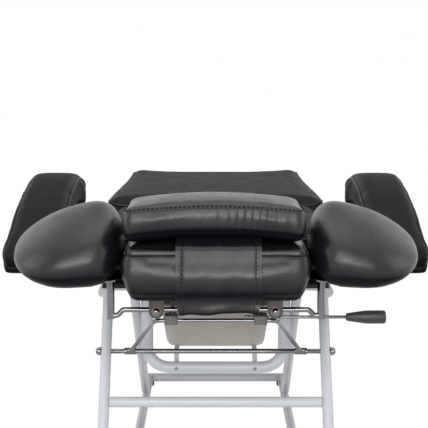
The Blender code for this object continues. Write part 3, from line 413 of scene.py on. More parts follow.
def plated(name, colour, stained, rough, scratch_depth):
    """Bright or dark plating with hairline scratches, finger marks and stains."""
    material, tree, shader, place = blank_finish(name)
    scratches = use_effect(tree, SCRATCHES, place, Along=60.0, Across=1400.0)
    smudge = use_effect(tree, DUST_AND_SHADE, place, Amount=0.08)["Smudge"]
    smeared = arithmetic(tree, "MULTIPLY", smudge, 0.06)
    hairline = arithmetic(tree, "MULTIPLY", scratches["Rough"], 0.05)
    marks = arithmetic(tree, "ADD", smeared, hairline)
    stain = arithmetic(tree, "MULTIPLY", smudge, 0.5)
    fill(tree, shader, {"Base Color": blend_colour(tree, stain, colour, stained), "Metallic": 1.0,
                        "Roughness": arithmetic(tree, "ADD", marks, rough),
                        "Normal": bumped(tree, scratches["Height"], scratch_depth, 0.4)})
    return material


# Painted shade: the chrome's colour is far darker than bright chrome, for the dark surroundings it mirrors.
CHROME_PAINTED_DARK = plated("polished_chrome_painted_dark", (0.21, 0.21, 0.22), (0.15, 0.146, 0.146), rough=0.08,
                scratch_depth=0.00002)
DARK_STEEL = plated("dark_plating", (0.085, 0.075, 0.068), (0.060, 0.042, 0.034), rough=0.32,
                    scratch_depth=0.00006)
print("chrome and dark plating")

# %% [markdown]
# ## Hard pieces with round tubes
# The frame's tubes are twelve-sided prisms, which is enough for collision and shows as flat stripes in
# chrome and white paint. They could be subdivided, which shrinks them. Here a straight tube's axis,
# length and radius are measured from its own points, and a rounder tube with softened ends is turned on
# that axis. Bent and cut pieces keep their points: they are welded, shaded smooth and get fine bevels.

# %% Helpers for the hard pieces
BODY_OF = {node: body for body, nodes in frame["record"]["behaviour"]["bodies"].items() for node in nodes}
TUBE_SIDES = 28
TUBE_LIP = 0.0012
SHARP_ANGLE = math.radians(38.0)


def as_piece(bm, name, finish, body):
    """Turn a bmesh into a shown piece with a finish, riding on a body."""
    bmesh.ops.recalc_face_normals(bm, faces=bm.faces)
    mesh = bpy.data.meshes.new(name)
    bm.to_mesh(mesh)
    bm.free()
    mesh.shade_smooth()
    mesh.set_sharp_from_angle(angle=SHARP_ANGLE)
    mesh.materials.append(finish)
    piece = bpy.data.objects.new(name, mesh)
    scene.collection.objects.link(piece)
    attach(piece, body)
    return piece


# %% Round tubes


def tube_axis(node):
    """Both end points and the radius of a straight tube, measured from its points."""
    points = [vert.co.copy() for vert in frame["nodes"][node].data.vertices]
    centre = sum(points, Vector()) / len(points)
    far = max(points, key=lambda p: (p - centre).length)
    other = max(points, key=lambda p: (p - far).length)
    axis = (other - far).normalized()
    for _ in range(8):
        reach = [(p - centre).dot(axis) for p in points]
        span = max(reach)
        head = [p for p, r in zip(points, reach) if r > span * 0.9]
        tail = [p for p, r in zip(points, reach) if r < min(reach) * 0.9]
        axis = (sum(head, Vector()) / len(head) - sum(tail, Vector()) / len(tail)).normalized()
    reach = [(p - centre).dot(axis) for p in points]
    radius = max((p - centre - axis * r).length for p, r in zip(points, reach))
    return centre + axis * min(reach), centre + axis * max(reach), radius


def spun_tube(bm, start, end, radius):
    """A straight tube with softened ends."""
    axis = end - start
    length = axis.length
    turn = Matrix.Translation(start) @ Vector((0, 0, 1)).rotation_difference(axis).to_matrix().to_4x4()
    outline = ((0.0, 0.0), (radius - TUBE_LIP, 0.0), (radius - TUBE_LIP * 0.3, TUBE_LIP * 0.3),
               (radius, TUBE_LIP), (radius, length - TUBE_LIP),
               (radius - TUBE_LIP * 0.3, length - TUBE_LIP * 0.3), (radius - TUBE_LIP, length), (0.0, length))
    verts = [bm.verts.new((across, 0.0, along)) for across, along in outline]
    edges = [bm.edges.new(pair) for pair in zip(verts, verts[1:])]
    kept = set(bm.verts) - set(verts)
    bmesh.ops.spin(bm, geom=verts + edges, cent=(0, 0, 0), axis=(0, 0, 1), angle=math.tau, steps=TUBE_SIDES)
    turned = [vert for vert in bm.verts if vert not in kept]
    bmesh.ops.transform(bm, matrix=turn, verts=turned)
    bmesh.ops.remove_doubles(bm, verts=turned, dist=0.00001)


def round_tube(node, finish):
    start, end, radius = tube_axis(node)
    bm = bmesh.new()
    spun_tube(bm, start, end, radius)
    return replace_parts(as_piece(bm, f"{node}_round", finish, BODY_OF[node]), node)


print("round tubes with", TUBE_SIDES, "sides")

# %% Fine copies of cut and bent pieces


def welded(node):
    """A node's own points and faces, with doubled points joined."""
    bm = bmesh.new()
    bm.from_mesh(frame["nodes"][node].data)
    bmesh.ops.remove_doubles(bm, verts=bm.verts, dist=0.00002)
    return bm


def fine_copy(node, finish, bevel=0.0):
    """A cut or bent piece with its own points, welded, shaded smooth, and with fine bevels."""
    bm = welded(node)
    bmesh.ops.dissolve_limit(bm, angle_limit=math.radians(1.0), verts=bm.verts, edges=bm.edges)
    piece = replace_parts(as_piece(bm, f"{node}_fine", finish, BODY_OF[node]), node)
    if bevel:
        rounding = piece.modifiers.new("softened_edges", "BEVEL")
        rounding.width = bevel
        rounding.segments = 2
        rounding.limit_method = "ANGLE"
        rounding.angle_limit = math.radians(40.0)
    return piece


print("fine copies ready")

# %% Tubes, rods and plates
WHITE_TUBES = ["front_floor_bar", "rear_floor_bar", "front_crossbar", "seat_front_rail", "seat_rear_rail",
               "backrest_tube"]
for _, label in SIDES:
    WHITE_TUBES += [f"front_leg_{label}", f"diagonal_leg_{label}", f"floor_skid_{label}", f"seat_rail_{label}"]
for node in WHITE_TUBES:
    round_tube(node, WHITE_PAINT)
for node in ("axle", "release_rod"):
    round_tube(node, CHROME_PAINTED_DARK)
for node in ("swing_frame", "calf_arm_left", "calf_arm_right"):
    fine_copy(node, CHROME_PAINTED_DARK)
fine_copy("basin_holder", WHITE_PAINT)
for _, label in SIDES:
    for node in ("axle_nut", "clamp_bolt", "recline_bolt", "holder_screw"):
        fine_copy(f"{node}_{label}", CHROME_PAINTED_DARK, 0.0003)
    for node in ("hinge_plate", "backrest_plate", "armrest_bracket", "clamp_bracket"):
        fine_copy(f"{node}_{label}", DARK_STEEL, 0.0006)
    fine_copy(f"basin_rest_{label}", WHITE_PAINT, 0.0006)
    for end in ("front", "rear"):
        fine_copy(f"foot_pad_{end}_{label}", RUBBER, 0.0015)
for node in ("seat_board", "backrest_board"):
    fine_copy(node, BOARD_CLOTH, 0.0015)
fine_copy("release_grip", BLACK_PLASTIC, 0.0006)
fine_copy("basin", CREAM_PLASTIC, 0.0012)

# %% [markdown]
# ## Frame clips
# Beside each clamp bracket sits a grey plastic block with a dark stem above it. The frame's solid is one
# block for both. It could be painted in two colours, and would then be too tall and too square. So the clip
# is a softened block that touches the bracket, and the stem is turned with a collar at its foot.

# %% Frame clips
CLIP_RISE = 0.021
CLIP_PLAY = 0.0004
CLIP_ROUNDING = 0.004
CLIP_STEM = 0.0048
CLIP_COLLAR, CLIP_COLLAR_HEIGHT = CLIP_STEM * 1.7, 0.006
for side, label in SIDES:
    low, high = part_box(f"frame_clip_{label}")
    bracket_low, bracket_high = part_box(f"clamp_bracket_{label}")
    inner, outer = (low.x, bracket_low.x) if side > 0 else (high.x, bracket_high.x)
    middle = Vector(((inner + outer) / 2, (low.y + high.y) / 2, low.z + CLIP_RISE / 2))
    size = (abs(outer - inner) - CLIP_PLAY, high.y - low.y, CLIP_RISE, 1.0)
    bm = bmesh.new()
    bmesh.ops.create_cube(bm, size=1.0, matrix=Matrix.Translation(middle) @ Matrix.Diagonal(size))
    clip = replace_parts(as_piece(bm, f"frame_clip_{label}_low", GREY_PLASTIC, "legrest"), f"frame_clip_{label}")
    rounding = clip.modifiers.new("softened_edges", "BEVEL")
    rounding.width, rounding.segments = CLIP_ROUNDING, 3
    stem_x, top = (low.x + high.x) / 2, low.z + CLIP_RISE
    bm = bmesh.new()
    for start, end, radius in ((low.z + CLIP_RISE * 0.7, high.z, CLIP_STEM),
                               (top, top + CLIP_COLLAR_HEIGHT, CLIP_COLLAR)):
        spun_tube(bm, Vector((stem_x, middle.y, start)), Vector((stem_x, middle.y, end)), radius)
    as_piece(bm, f"frame_clip_{label}_stem", BLACK_PLASTIC, "legrest")
print("frame clips and stems")

# %% [markdown]
# ## How the pads are stuffed
# A vinyl-covered pad is foam on a board, with a cover pulled tight and sewn from a top panel and a side
# strip. The cover stretches into shallow crowns between its seams. A subdivided box has the right size
# and no tension, so each pad starts as a closed form: a loft of rounded rings, a shaped ball or the frame's
# own solid. Blender's cloth then blows it up from inside while its base is held. A cap keeps every point
# close to its start, so the result fits the space that the frame gives it.

# %% Loft and cloth
RING_STEPS = 10
SIDE_STEPS = 16
EDGE_STEPS = 5
WALL_STEPS = 8
BASE_SHARES = (0.8, 0.5, 0.2)
TOP_SHARES = (0.93, 0.8, 0.6, 0.4, 0.2)
CLOTH_FRAMES = 20


def bridge(bm, ring, after, closed=True):
    """Faces between two rows with as many points each."""
    for k in range(len(ring) if closed else len(ring) - 1):
        m = (k + 1) % len(ring)
        bm.faces.new((ring[k], ring[m], after[m], after[k]))


def rounded_ring(half_x, half_y, corner):
    """Points around a rectangle with round corners, and along its straight sides too."""
    corner = min(corner, half_x * 0.999, half_y * 0.999)
    ring = []
    signs = ((1, 1), (-1, 1), (-1, -1), (1, -1))

    def corner_point(quarter, turn):
        sign_x, sign_y = signs[quarter % 4]
        return Vector((sign_x * (half_x - corner) + corner * math.cos(turn),
                       sign_y * (half_y - corner) + corner * math.sin(turn), 0.0))

    for quarter in range(4):
        ring += [corner_point(quarter, math.pi / 2 * (quarter + step / RING_STEPS))
                 for step in range(RING_STEPS + 1)]
        last, after = ring[-1].copy(), corner_point(quarter + 1, math.pi / 2 * (quarter + 1))
        ring += [last.lerp(after, step / SIDE_STEPS) for step in range(1, SIDE_STEPS)]
    return ring


print("ring with", len(rounded_ring(1.0, 1.0, 0.1)), "points")

# %% Loft of a pad


def pad_loft(half, corner, low_edge, high_edge, bulge=0.0, crown=0.0, shape=None, peak=1.0):
    """A closed pad about its centre, lofted from rounded rings: base edge, bulging side, top edge, crown."""
    half_x, half_y, half_z = half
    rows = []
    for step in range(EDGE_STEPS + 1):
        turn = math.pi / 2 * step / EDGE_STEPS
        rows.append((low_edge * (1 - math.sin(turn)), -half_z + low_edge * (1 - math.cos(turn))))
    side_low, side_high = -half_z + low_edge, half_z - high_edge
    for step in range(1, WALL_STEPS):
        share = step / WALL_STEPS
        rows.append((-bulge * math.sin(math.pi * share ** peak), side_low + (side_high - side_low) * share))
    for step in range(EDGE_STEPS + 1):
        turn = math.pi / 2 * step / EDGE_STEPS
        rows.append((high_edge * (1 - math.cos(turn)), half_z - high_edge * (1 - math.sin(turn))))
    bm = bmesh.new()
    rings = []
    for inset, height in rows:
        ring = rounded_ring(half_x - inset, half_y - inset, max(corner - inset, 0.004))
        rings.append([bm.verts.new((p.x, p.y, height)) for p in ring])

    def dome(place):
        return (1 - (place.x / half_x) ** 2) * (1 - (place.y / half_y) ** 2)

    def filled(ring, shares, height, lift):
        last = ring
        for share in shares:
            inner = [bm.verts.new((v.co.x * share, v.co.y * share, height + lift * dome(v.co * share)))
                     for v in ring]
            bridge(bm, last, inner)
            last = inner
        bm.faces.new(last)

    for lower, upper in zip(rings, rings[1:]):
        bridge(bm, lower, upper)
    filled(rings[0], BASE_SHARES, -half_z, 0.0)
    filled(rings[-1], TOP_SHARES, half_z, crown)
    bmesh.ops.recalc_face_normals(bm, faces=bm.faces)
    if shape:
        for vert in bm.verts:
            vert.co = shape(vert.co)
    return bm


print("loft ready")

# %% Cloth


def settle(piece):
    """Replace a piece's mesh with what its modifiers make of it."""
    bpy.context.view_layer.update()
    made = bpy.data.meshes.new_from_object(piece.evaluated_get(bpy.context.evaluated_depsgraph_get()))
    piece.modifiers.clear()
    piece.data = made
    made.shade_smooth()
    return piece


def relaxed(pad, rounds):
    """Even out a mesh: each point moves half way to the middle of its neighbours, a few times."""
    smooth = pad.modifiers.new("relaxed", "SMOOTH")
    smooth.factor, smooth.iterations = 0.5, rounds
    settle(pad)


def stuffed(bm, name, finish, voxel, cap, held, pressure=4.0, rounds=0):
    """Remesh a form evenly and let the cloth swell from inside. held(point) is true where it is fixed."""
    mesh = bpy.data.meshes.new(name)
    bmesh.ops.recalc_face_normals(bm, faces=bm.faces)
    bm.to_mesh(mesh)
    bm.free()
    pad = bpy.data.objects.new(name, mesh)
    scene.collection.objects.link(pad)
    if rounds:
        facets = pad.modifiers.new("no_facets", "SUBSURF")
        facets.levels = facets.render_levels = rounds
        settle(pad)
    even = pad.modifiers.new("even_mesh", "REMESH")
    even.mode = "VOXEL"
    even.voxel_size = voxel
    settle(pad)
    relaxed(pad, 4)
    before = [vert.co.copy() for vert in pad.data.vertices]
    fixed = pad.vertex_groups.new(name="fixed")
    fixed.add([i for i, place in enumerate(before) if held(place)], 1.0, "REPLACE")
    cover = pad.modifiers.new("cover", "CLOTH")
    cover.settings.quality = 4
    cover.settings.use_pressure = True
    cover.settings.uniform_pressure_force = pressure
    cover.settings.effector_weights.gravity = 0.0
    cover.settings.vertex_group_mass = "fixed"
    cover.settings.tension_stiffness = cover.settings.compression_stiffness = 25.0
    cover.settings.bending_stiffness = 2.0
    cover.collision_settings.use_collision = False
    cover.point_cache.frame_start, cover.point_cache.frame_end = 1, CLOTH_FRAMES
    for step in range(1, CLOTH_FRAMES + 1):
        scene.frame_set(step)
    settle(pad)
    scene.frame_set(1)
    for vert, start in zip(pad.data.vertices, before):
        move = vert.co - start
        if move.length > cap:
            vert.co = start + move.normalized() * cap
    relaxed(pad, 6)
    pad.vertex_groups.clear()
    pad.data.materials.clear()
    pad.data.materials.append(finish)
    width = max(v.co.x for v in pad.data.vertices) - min(v.co.x for v in pad.data.vertices)
    swell = max((v.co - s).length for v, s in zip(pad.data.vertices, before))
    print(f"{name}: {len(pad.data.vertices)} points, {width:.3f} m wide, "
          f"swelled by up to {swell * 1000:.1f} mm")
    return pad


print("cloth ready for", CLOTH_FRAMES, "frames")

# %% Upholstered pieces


def upholster(pad, node):
    """Round off a stuffed pad and let it stand for its CAD solid."""
    soft = pad.modifiers.new("rounder", "SUBSURF")
    soft.levels = soft.render_levels = 1
    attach(pad, BODY_OF[node])
    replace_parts(pad, node)
    return pad

# %% [markdown]
# ## Seams, piping and stitches
# Piping is a cord wrapped in the same vinyl and caught in a seam, and a seam pulls the cover down beside
# it. Both could be painted on, and would then vanish at the outline. So a seam starts as a row of points
# where it should run, moves to the nearest place on the stuffed pad, and gets a groove in the cover, a
# thin tube for the piping, and one small thread for each stitch.

# %% Helpers for seams


def surface_tree(piece):
    """A piece's faces, ready for rays and nearest points."""
    faces = [tuple(face.vertices) for face in piece.data.polygons]
    return BVHTree.FromPolygons([vert.co for vert in piece.data.vertices], faces)


def even_route(points, spacing, closed=True):
    """The same route with its points an even distance apart."""
    points = [Vector(p) for p in points] + ([Vector(points[0])] if closed else [])
    lengths = [0.0]
    for a, b in zip(points, points[1:]):
        lengths.append(lengths[-1] + (b - a).length)
    count = max(2, round(lengths[-1] / spacing))
    out, index = [], 0
    for step in range(count + (0 if closed else 1)):
        target = lengths[-1] * step / count
        while index < len(points) - 2 and lengths[index + 1] < target:
            index += 1
        part = lengths[index + 1] - lengths[index]
        share = (target - lengths[index]) / part if part else 0.0
        out.append(points[index].lerp(points[index + 1], share))
    return out


def cover_seam(pad, route, rounds=3):
    """A closed seam of (place, outward) pairs: the places on a pad nearest to a route, evened out."""
    tree = surface_tree(pad)
    seam = [tree.find_nearest(point)[:2] for point in route]
    for _ in range(rounds):
        trios = zip(seam[-1:] + seam[:-1], seam, seam[1:] + seam[:1])
        seam = [((before[0] + here[0] * 2 + after[0]) / 4, (before[1] + here[1] * 2 + after[1]).normalized())
                for before, here, after in trios]
    return seam


print("seams ready")

# %% Grooves and piping


def press_groove(pad, seam, width, depth):
    """Draw the cover in along a seam."""
    near = KDTree(len(seam))
    for i, (place, _) in enumerate(seam):
        near.insert(place, i)
    near.balance()
    normals = [v.normal.copy() for v in pad.data.vertices]
    for vert, normal in zip(pad.data.vertices, normals):
        distance = near.find(vert.co)[2]
        if distance < width * 3:
            vert.co -= normal * depth * math.exp(-(distance / width) ** 2)


CORD_TURNS = [math.tau * k / 8 for k in range(8)]


def piping(name, seam, radius, lift, body):
    """A round cord along a closed seam, lifted off the cover."""
    bm = bmesh.new()
    rings = []
    for i, (place, outward) in enumerate(seam):
        along = (seam[(i + 1) % len(seam)][0] - seam[i - 1][0]).normalized()
        across = along.cross(outward).normalized()
        up = across.cross(along)
        middle = place + outward * lift
        rings.append([bm.verts.new(middle + across * radius * math.cos(turn) + up * radius * math.sin(turn))
                      for turn in CORD_TURNS])
    for ring, after in zip(rings, rings[1:] + rings[:1]):
        bridge(bm, ring, after)
    as_piece(bm, name, PIPING, body)


print("piping with", len(CORD_TURNS), "sides")

# %% Stitches
# Along a stitch: (share of its length, share of its thickness)
STITCH_FORM = ((-0.5, 0.35), (-0.3, 0.9), (0.0, 1.0), (0.3, 0.9), (0.5, 0.35))
STITCH_TURNS = [math.tau * k / 6 for k in range(6)]


def stitches(name, seams, length, thickness, body):
    """One small sunk-in thread for each stitch: seams hold a point for every stitch."""
    bm = bmesh.new()
    for seam in seams:
        for (place, outward), (after, _) in zip(seam, seam[1:]):
            along = (after - place).normalized()
            across = along.cross(outward).normalized()
            rings = []
            for share, swell in STITCH_FORM:
                sink = -thickness * 0.9 * (2 * share) ** 2
                middle = place + along * length * share + outward * (thickness * 0.35 + sink)
                rings.append([bm.verts.new(middle + (across * math.cos(turn) + outward * math.sin(turn))
                                           * thickness * 0.5 * swell) for turn in STITCH_TURNS])
            for ring, following in zip(rings, rings[1:]):
                bridge(bm, ring, following)
            bm.faces.new(list(reversed(rings[0])))
            bm.faces.new(rings[-1])
    return as_piece(bm, name, THREAD, body)

# %% [markdown]
# ## Leg rest pad
# The nearest pad is a boxed one: a top panel and a side strip joined by a welt just under the top edge,
# with a second seam low down where the cover turns under the board. Its lower corners are rounder than its
# upper ones. The welt goes all round as one cord, because the pad is seen from behind as well.

# %% Leg rest pad
SWELL = 0.004
LEG_CORNER = 0.022
LEG_LOW_CORNER = 0.026
LEG_LEAN = 0.030
LEG_BULGE = 0.009
LEG_PEAK = 0.82
LEG_FIT = Vector((0.002, -0.004, -0.001))
LEG_HELD = 0.012
pad_low, pad_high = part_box("legrest_pad")
base_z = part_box("legrest_board")[0].z
leg_low = Vector((pad_low.x, pad_low.y, base_z))
middle, half = (leg_low + pad_high) / 2, (pad_high - leg_low) / 2 + LEG_FIT


def to_legrest(place):
    """Round off the two lower corners as seen from the front, and lean the ends in towards the base."""
    over = min(1.0, max(0.0, abs(place.x) - half.x + LEG_LOW_CORNER) / LEG_LOW_CORNER)
    depth = (half.z - place.z) / (2 * half.z)
    lift = LEG_LOW_CORNER * (1 - math.sqrt(1 - over ** 2)) * depth
    return Vector((place.x * (1 - LEG_LEAN * depth ** 2), place.y, place.z + lift)) + middle


loft = pad_loft(half, LEG_CORNER, low_edge=0.018, high_edge=0.009, bulge=LEG_BULGE, crown=0.006,
                shape=to_legrest, peak=LEG_PEAK)
legrest = stuffed(loft, "legrest_cover", BLACK_LEATHERETTE, voxel=0.0045, cap=0.004,
                  held=lambda p: p.z < base_z + LEG_HELD)

# %% Seams of the leg rest


def ring_route(centre, half_x, half_y, corner, height, spacing=0.004):
    """An even closed route around a pad at one height."""
    lift = Vector((0, 0, height))
    return even_route([centre + p + lift for p in rounded_ring(half_x, half_y, corner)], spacing)


LEG_WELT_DROP = 0.011
LEG_SEAM_RISE = 0.016
welt_route = ring_route(middle, half.x + SWELL, half.y + SWELL, LEG_CORNER, half.z - LEG_WELT_DROP)
leg_welt = cover_seam(legrest, welt_route)
press_groove(legrest, leg_welt, width=0.0045, depth=0.0022)
piping("legrest_welt", leg_welt, radius=0.0019, lift=-0.0002, body="legrest")
low_route = ring_route(middle, half.x, half.y + SWELL, LEG_CORNER, -half.z + LEG_SEAM_RISE, spacing=0.0065)
low_seam = cover_seam(legrest, low_route)
press_groove(legrest, low_seam, width=0.004, depth=0.0012)
stitches("legrest_stitches", [low_seam], length=0.0040, thickness=0.0012, body="legrest")
upholster(legrest, "legrest_pad")
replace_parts(legrest, "legrest_board")

# %% [markdown]
# ## Strapped-on cushion
# The cushion is softer than the pads: it is thickest in the middle, its top panel is sewn to the side
# strip with a row of top stitching along the edge, and the strip puckers where it is eased round
# the corner. The puckers are shallow waves that run down from the seam, so they are moved into the cover
# after the cloth has settled.

# %% Strapped-on cushion
CUSHION_SHIFT = -0.004
CUSHION_SPREAD = 0.007
CUSHION_CORNER = 0.022
CUSHION_RISE = 0.013
CUSHION_ARCH = 0.017
CUSHION_LEAN = 0.007
CUSHION_FRONT_LIFT = 0.018
CUSHION_HELD = 0.006
CUSHION_GATHER = 0.012
CUSHION_SLACK = Vector((0.001, 0.001, 0.0005))
PUCKER_LEAN = 0.010
low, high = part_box("strap_cushion")
middle, half = (low + high) / 2, (high - low) / 2 - CUSHION_SLACK
middle.x += CUSHION_SHIFT
half.x += CUSHION_SPREAD
cushion_base = low.z


def to_cushion(place):
    """Bow the cushion: its middle lies higher than its ends, at the top and at the base."""
    share = max(0.0, 1 - (place.x / half.x) ** 2)
    up = (place.z + half.z) / (2 * half.z)
    near, far = max(0.0, -place.y / half.y), max(0.0, place.y / half.y)
    bow = CUSHION_RISE * (share - 1) * up + CUSHION_ARCH * share * (1 - up) * (1 - far)
    bow += CUSHION_FRONT_LIFT * near ** 3 * (1 - up)
    return Vector((place.x, place.y + CUSHION_LEAN * up * near, place.z + bow)) + middle


loft = pad_loft(half, CUSHION_CORNER, low_edge=0.020, high_edge=0.009, bulge=0.003, crown=0.008,
                shape=to_cushion)
cushion = stuffed(loft, "cushion_cover", BLACK_LEATHERETTE, voxel=0.0045, cap=0.003,
                  held=lambda p: p.z < cushion_base + CUSHION_HELD)
top_route = [to_cushion(p + Vector((0, 0, half.z))) for p in rounded_ring(half.x, half.y, CUSHION_CORNER)]
cushion_seam = cover_seam(cushion, even_route(top_route, spacing=0.0098), 1)
fine_seam = cover_seam(cushion, even_route(top_route, spacing=0.0040))
press_groove(cushion, fine_seam, width=0.0040, depth=0.0018)

# %% Puckers of the cushion
# Puckers down the front, as (across, width, depth) in metres
PUCKERS = ((-0.150, 0.012, 0.0020), (-0.060, 0.014, 0.0010), (0.007, 0.006, 0.0020), (0.030, 0.005, 0.0022),
           (0.047, 0.005, 0.0034), (0.064, 0.006, 0.0040), (0.080, 0.006, 0.0044), (0.096, 0.006, 0.0038),
           (0.112, 0.007, 0.0044), (0.132, 0.008, 0.0026), (0.160, 0.010, 0.0016))
for vert in cushion.data.vertices:
    facing = max(0.0, -vert.normal.y)
    height = (vert.co.z - cushion_base) / (2 * half.z)
    fade = facing ** 2 * max(0.0, math.sin(math.pi * min(1.0, max(0.0, height)))) ** 0.5
    for across, width, depth in PUCKERS:
        lean = across + PUCKER_LEAN * (height - 0.5)
        vert.co.y += fade * depth * math.exp(-((vert.co.x - lean) / width) ** 2)
stitches("cushion_top_stitches", [cushion_seam], length=0.0066, thickness=0.0020, body="legrest")
gather_route = ring_route(middle, half.x, half.y, CUSHION_CORNER, -half.z + CUSHION_GATHER, spacing=0.006)
press_groove(cushion, cover_seam(cushion, gather_route), width=0.005, depth=0.0025)
upholster(cushion, "strap_cushion")

# %% [markdown]
# ## Strap
# A wide band of the same vinyl holds the cushion. It comes from under it, turns over the pad's front edge,
# runs down the front and is caught up under the board, with a slack fold below. Its long edges are
# folded over and sewn. A cloth simulation would have to stretch it to make it lie flat, so the band is
# laid row by row on the cover it rests on, and only its free fold waves.

# %% Strap
STRAP_SPREAD = 0.004
STRAP_CLEAR = 0.0030
STRAP_RISE, STRAP_RISE_ROWS = 0.010, 13
STRAP_ROW = 0.004
TURN_INSET, TURN_FROM, TURN_BY, TURN_STEPS = 0.045, 95, 95, 18
FRONT_STEPS = 8
RAY_START = 0.3
FOLD_START, FOLD_NARROWING, FOLD_SAG = 0.02, 0.07, 0.003
FOLD_WAVE, BAND_WAVE = 0.0022, 0.0004
strap_low, strap_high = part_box("strap")
STRAP_X = (strap_low.x + strap_high.x) / 2
STRAP_HALF = (strap_high.x - strap_low.x) / 2 + STRAP_SPREAD
STRAP_SKIN = 0.0016
HEM_WIDTH = 0.0145
HEM_LIFT = 0.0013
cover_tree = surface_tree(legrest)


def cover_reach(start, direction):
    """The point on the leg rest's cover that stands out most under the strap, for rays along one direction."""
    best = None
    for share in (-0.95, -0.6, -0.3, 0.0, 0.3, 0.6, 0.95):
        hit = cover_tree.ray_cast(start + Vector((STRAP_X + STRAP_HALF * share, 0, 0)), direction)[0]
        if hit and (best is None or (hit - start).dot(direction) < (best - start).dot(direction)):
            best = hit
    return Vector((0, best.y, best.z)) - direction * STRAP_CLEAR


print(f"strap {2 * STRAP_HALF:.3f} m wide")

# %% Line of the strap
turn_middle = Vector((0.0, pad_low.y + TURN_INSET, pad_high.z - TURN_INSET))
strap_line = [cover_reach(Vector((0, strap_high.y, pad_high.z + RAY_START)), Vector((0, 0, -1)))]
for step in range(TURN_STEPS + 1):
    turn = math.radians(TURN_FROM + TURN_BY * step / TURN_STEPS)
    away = Vector((0, math.cos(turn), math.sin(turn)))
    strap_line.append(cover_reach(turn_middle + away * RAY_START, -away))
for index, point in enumerate(strap_line[:STRAP_RISE_ROWS]):
    point.z += STRAP_RISE * (1 - index / STRAP_RISE_ROWS)
front_top, front_low = strap_line[-1].z - 0.006, base_z + 0.010
for step in range(FRONT_STEPS + 1):
    height = front_top + (front_low - front_top) * step / FRONT_STEPS
    strap_line.append(cover_reach(Vector((0, pad_low.y - RAY_START, height)), Vector((0, 1, 0))))

# The slack fold below the board, as (way back, height)
fold_z, hang_y = strap_low.z + 0.002, strap_line[-1].y
FOLD = ((0.004, base_z - 0.003), (0.003, base_z - 0.010), (0.002, fold_z + 0.010), (0.006, fold_z + 0.002),
        (0.013, fold_z + 0.002), (0.018, fold_z + 0.010), (0.020, base_z - 0.003))
strap_line += [Vector((0, hang_y + back, height)) for back, height in FOLD]
strap_rows = even_route(strap_line, STRAP_ROW, closed=False)
for _ in range(3):
    inner = [(a + b * 2 + c) / 4 for a, b, c in zip(strap_rows, strap_rows[1:], strap_rows[2:])]
    strap_rows = [strap_rows[0]] + inner + [strap_rows[-1]]


print(len(strap_rows), "rows from tuck to fold")

# %% Band of the strap
hem_share = 1 - HEM_WIDTH / STRAP_HALF
columns = [-1.0, -0.995, -0.97, -hem_share - 0.012, -hem_share, -hem_share + 0.012]
columns += [hem_share * k / 9 for k in range(-8, 9)] + [-c for c in reversed(columns)]
bm = bmesh.new()
grid = []
hem_line = {-1: [], 1: []}
for index, point in enumerate(strap_rows):
    before, after = strap_rows[max(0, index - 1)], strap_rows[min(len(strap_rows) - 1, index + 1)]
    along = (after - before).normalized()
    outward = Vector((0, along.z, -along.y))
    outward = outward if outward.y <= 0 or outward.z > 0 else -outward
    if index and outward.dot(last_outward) < 0:
        outward = -outward
    last_outward = outward
    free = max(0.0, min(1.0, (base_z - point.z) / FOLD_START))
    narrow = 1.0 - FOLD_NARROWING * free
    row = []
    for share in columns:
        hem = max(0.0, min(1.0, (abs(share) - hem_share + 0.006) / 0.012))
        wave = (free * FOLD_WAVE * math.sin(share * 5.0 + index * 0.3)
                + BAND_WAVE * math.sin(share * 9.0 + index * 0.22))
        sag = free * FOLD_SAG * share
        place = Vector((STRAP_X + share * STRAP_HALF * narrow, point.y, point.z + sag))
        row.append(bm.verts.new(place + outward * (HEM_LIFT * hem + max(wave, -0.0006))))
    grid.append(row)
    for side in (-1, 1):
        edge = Vector((STRAP_X + side * (hem_share + 0.02) * STRAP_HALF * narrow, point.y, point.z))
        hem_line[side].append((edge + outward * (HEM_LIFT + STRAP_SKIN / 2), outward))
for row, after in zip(grid, grid[1:]):
    bridge(bm, row, after, closed=False)
strap = as_piece(bm, "strap_band", BLACK_LEATHERETTE, "legrest")
skin = strap.modifiers.new("vinyl", "SOLIDIFY")
skin.thickness = STRAP_SKIN
skin.offset = 0.0
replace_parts(strap, "strap")


print(strap.name, len(grid), "rows")

# %% Stitches of the strap


def spaced_seam(seam, spacing):
    """A seam with one point for each stitch."""
    places = even_route([place for place, _ in seam], spacing, closed=False)
    return [(place, min(seam, key=lambda pair: (pair[0] - place).length)[1]) for place in places]


strap_thread = stitches("strap_stitches", [spaced_seam(hem_line[side], 0.0090) for side in (-1, 1)],
                        length=0.0060, thickness=0.0019, body="legrest")

# %% [markdown]
# ## Calf rests
# The two calf rests are smooth egg-shaped domes, moulded foam with the vinyl drawn over it in one piece.
# A ball could be scaled to fit, and would lose the flat base and the uneven ends. So each point of a ball is
# moved by a formula in real sizes: squarer towards the leg rest, thinner on the outer side, rolled and
# pitched as the photograph shows. The cloth then tightens it, and a seam runs round near the base.

# %% Calf rests


def solid_copy(node, shrink):
    """A node's own solid, drawn in along its normals by what the pad will swell."""
    bm = welded(node)
    bmesh.ops.recalc_face_normals(bm, faces=bm.faces)
    bm.normal_update()
    moves = [(vert, vert.normal.copy()) for vert in bm.verts]
    for vert, normal in moves:
        vert.co -= normal * shrink
    bmesh.ops.join_triangles(bm, faces=bm.faces, angle_face_threshold=math.radians(25.0),
                             angle_shape_threshold=math.radians(40.0))
    return bm


def base_test(node, depth):
    """A test for the points within a depth of the flat base of a tilted pad."""
    solid = frame["nodes"][node].data
    areas = {}
    for face in solid.polygons:
        key = tuple(round(v, 2) for v in face.normal)
        areas[key] = areas.get(key, 0.0) + face.area
    normal = Vector(max((key for key in areas if key[2] < -0.5), key=areas.get))
    level = max(normal.dot(v.co) for v in solid.vertices)
    return lambda place: normal.dot(place) > level - depth


print("pad helpers ready")

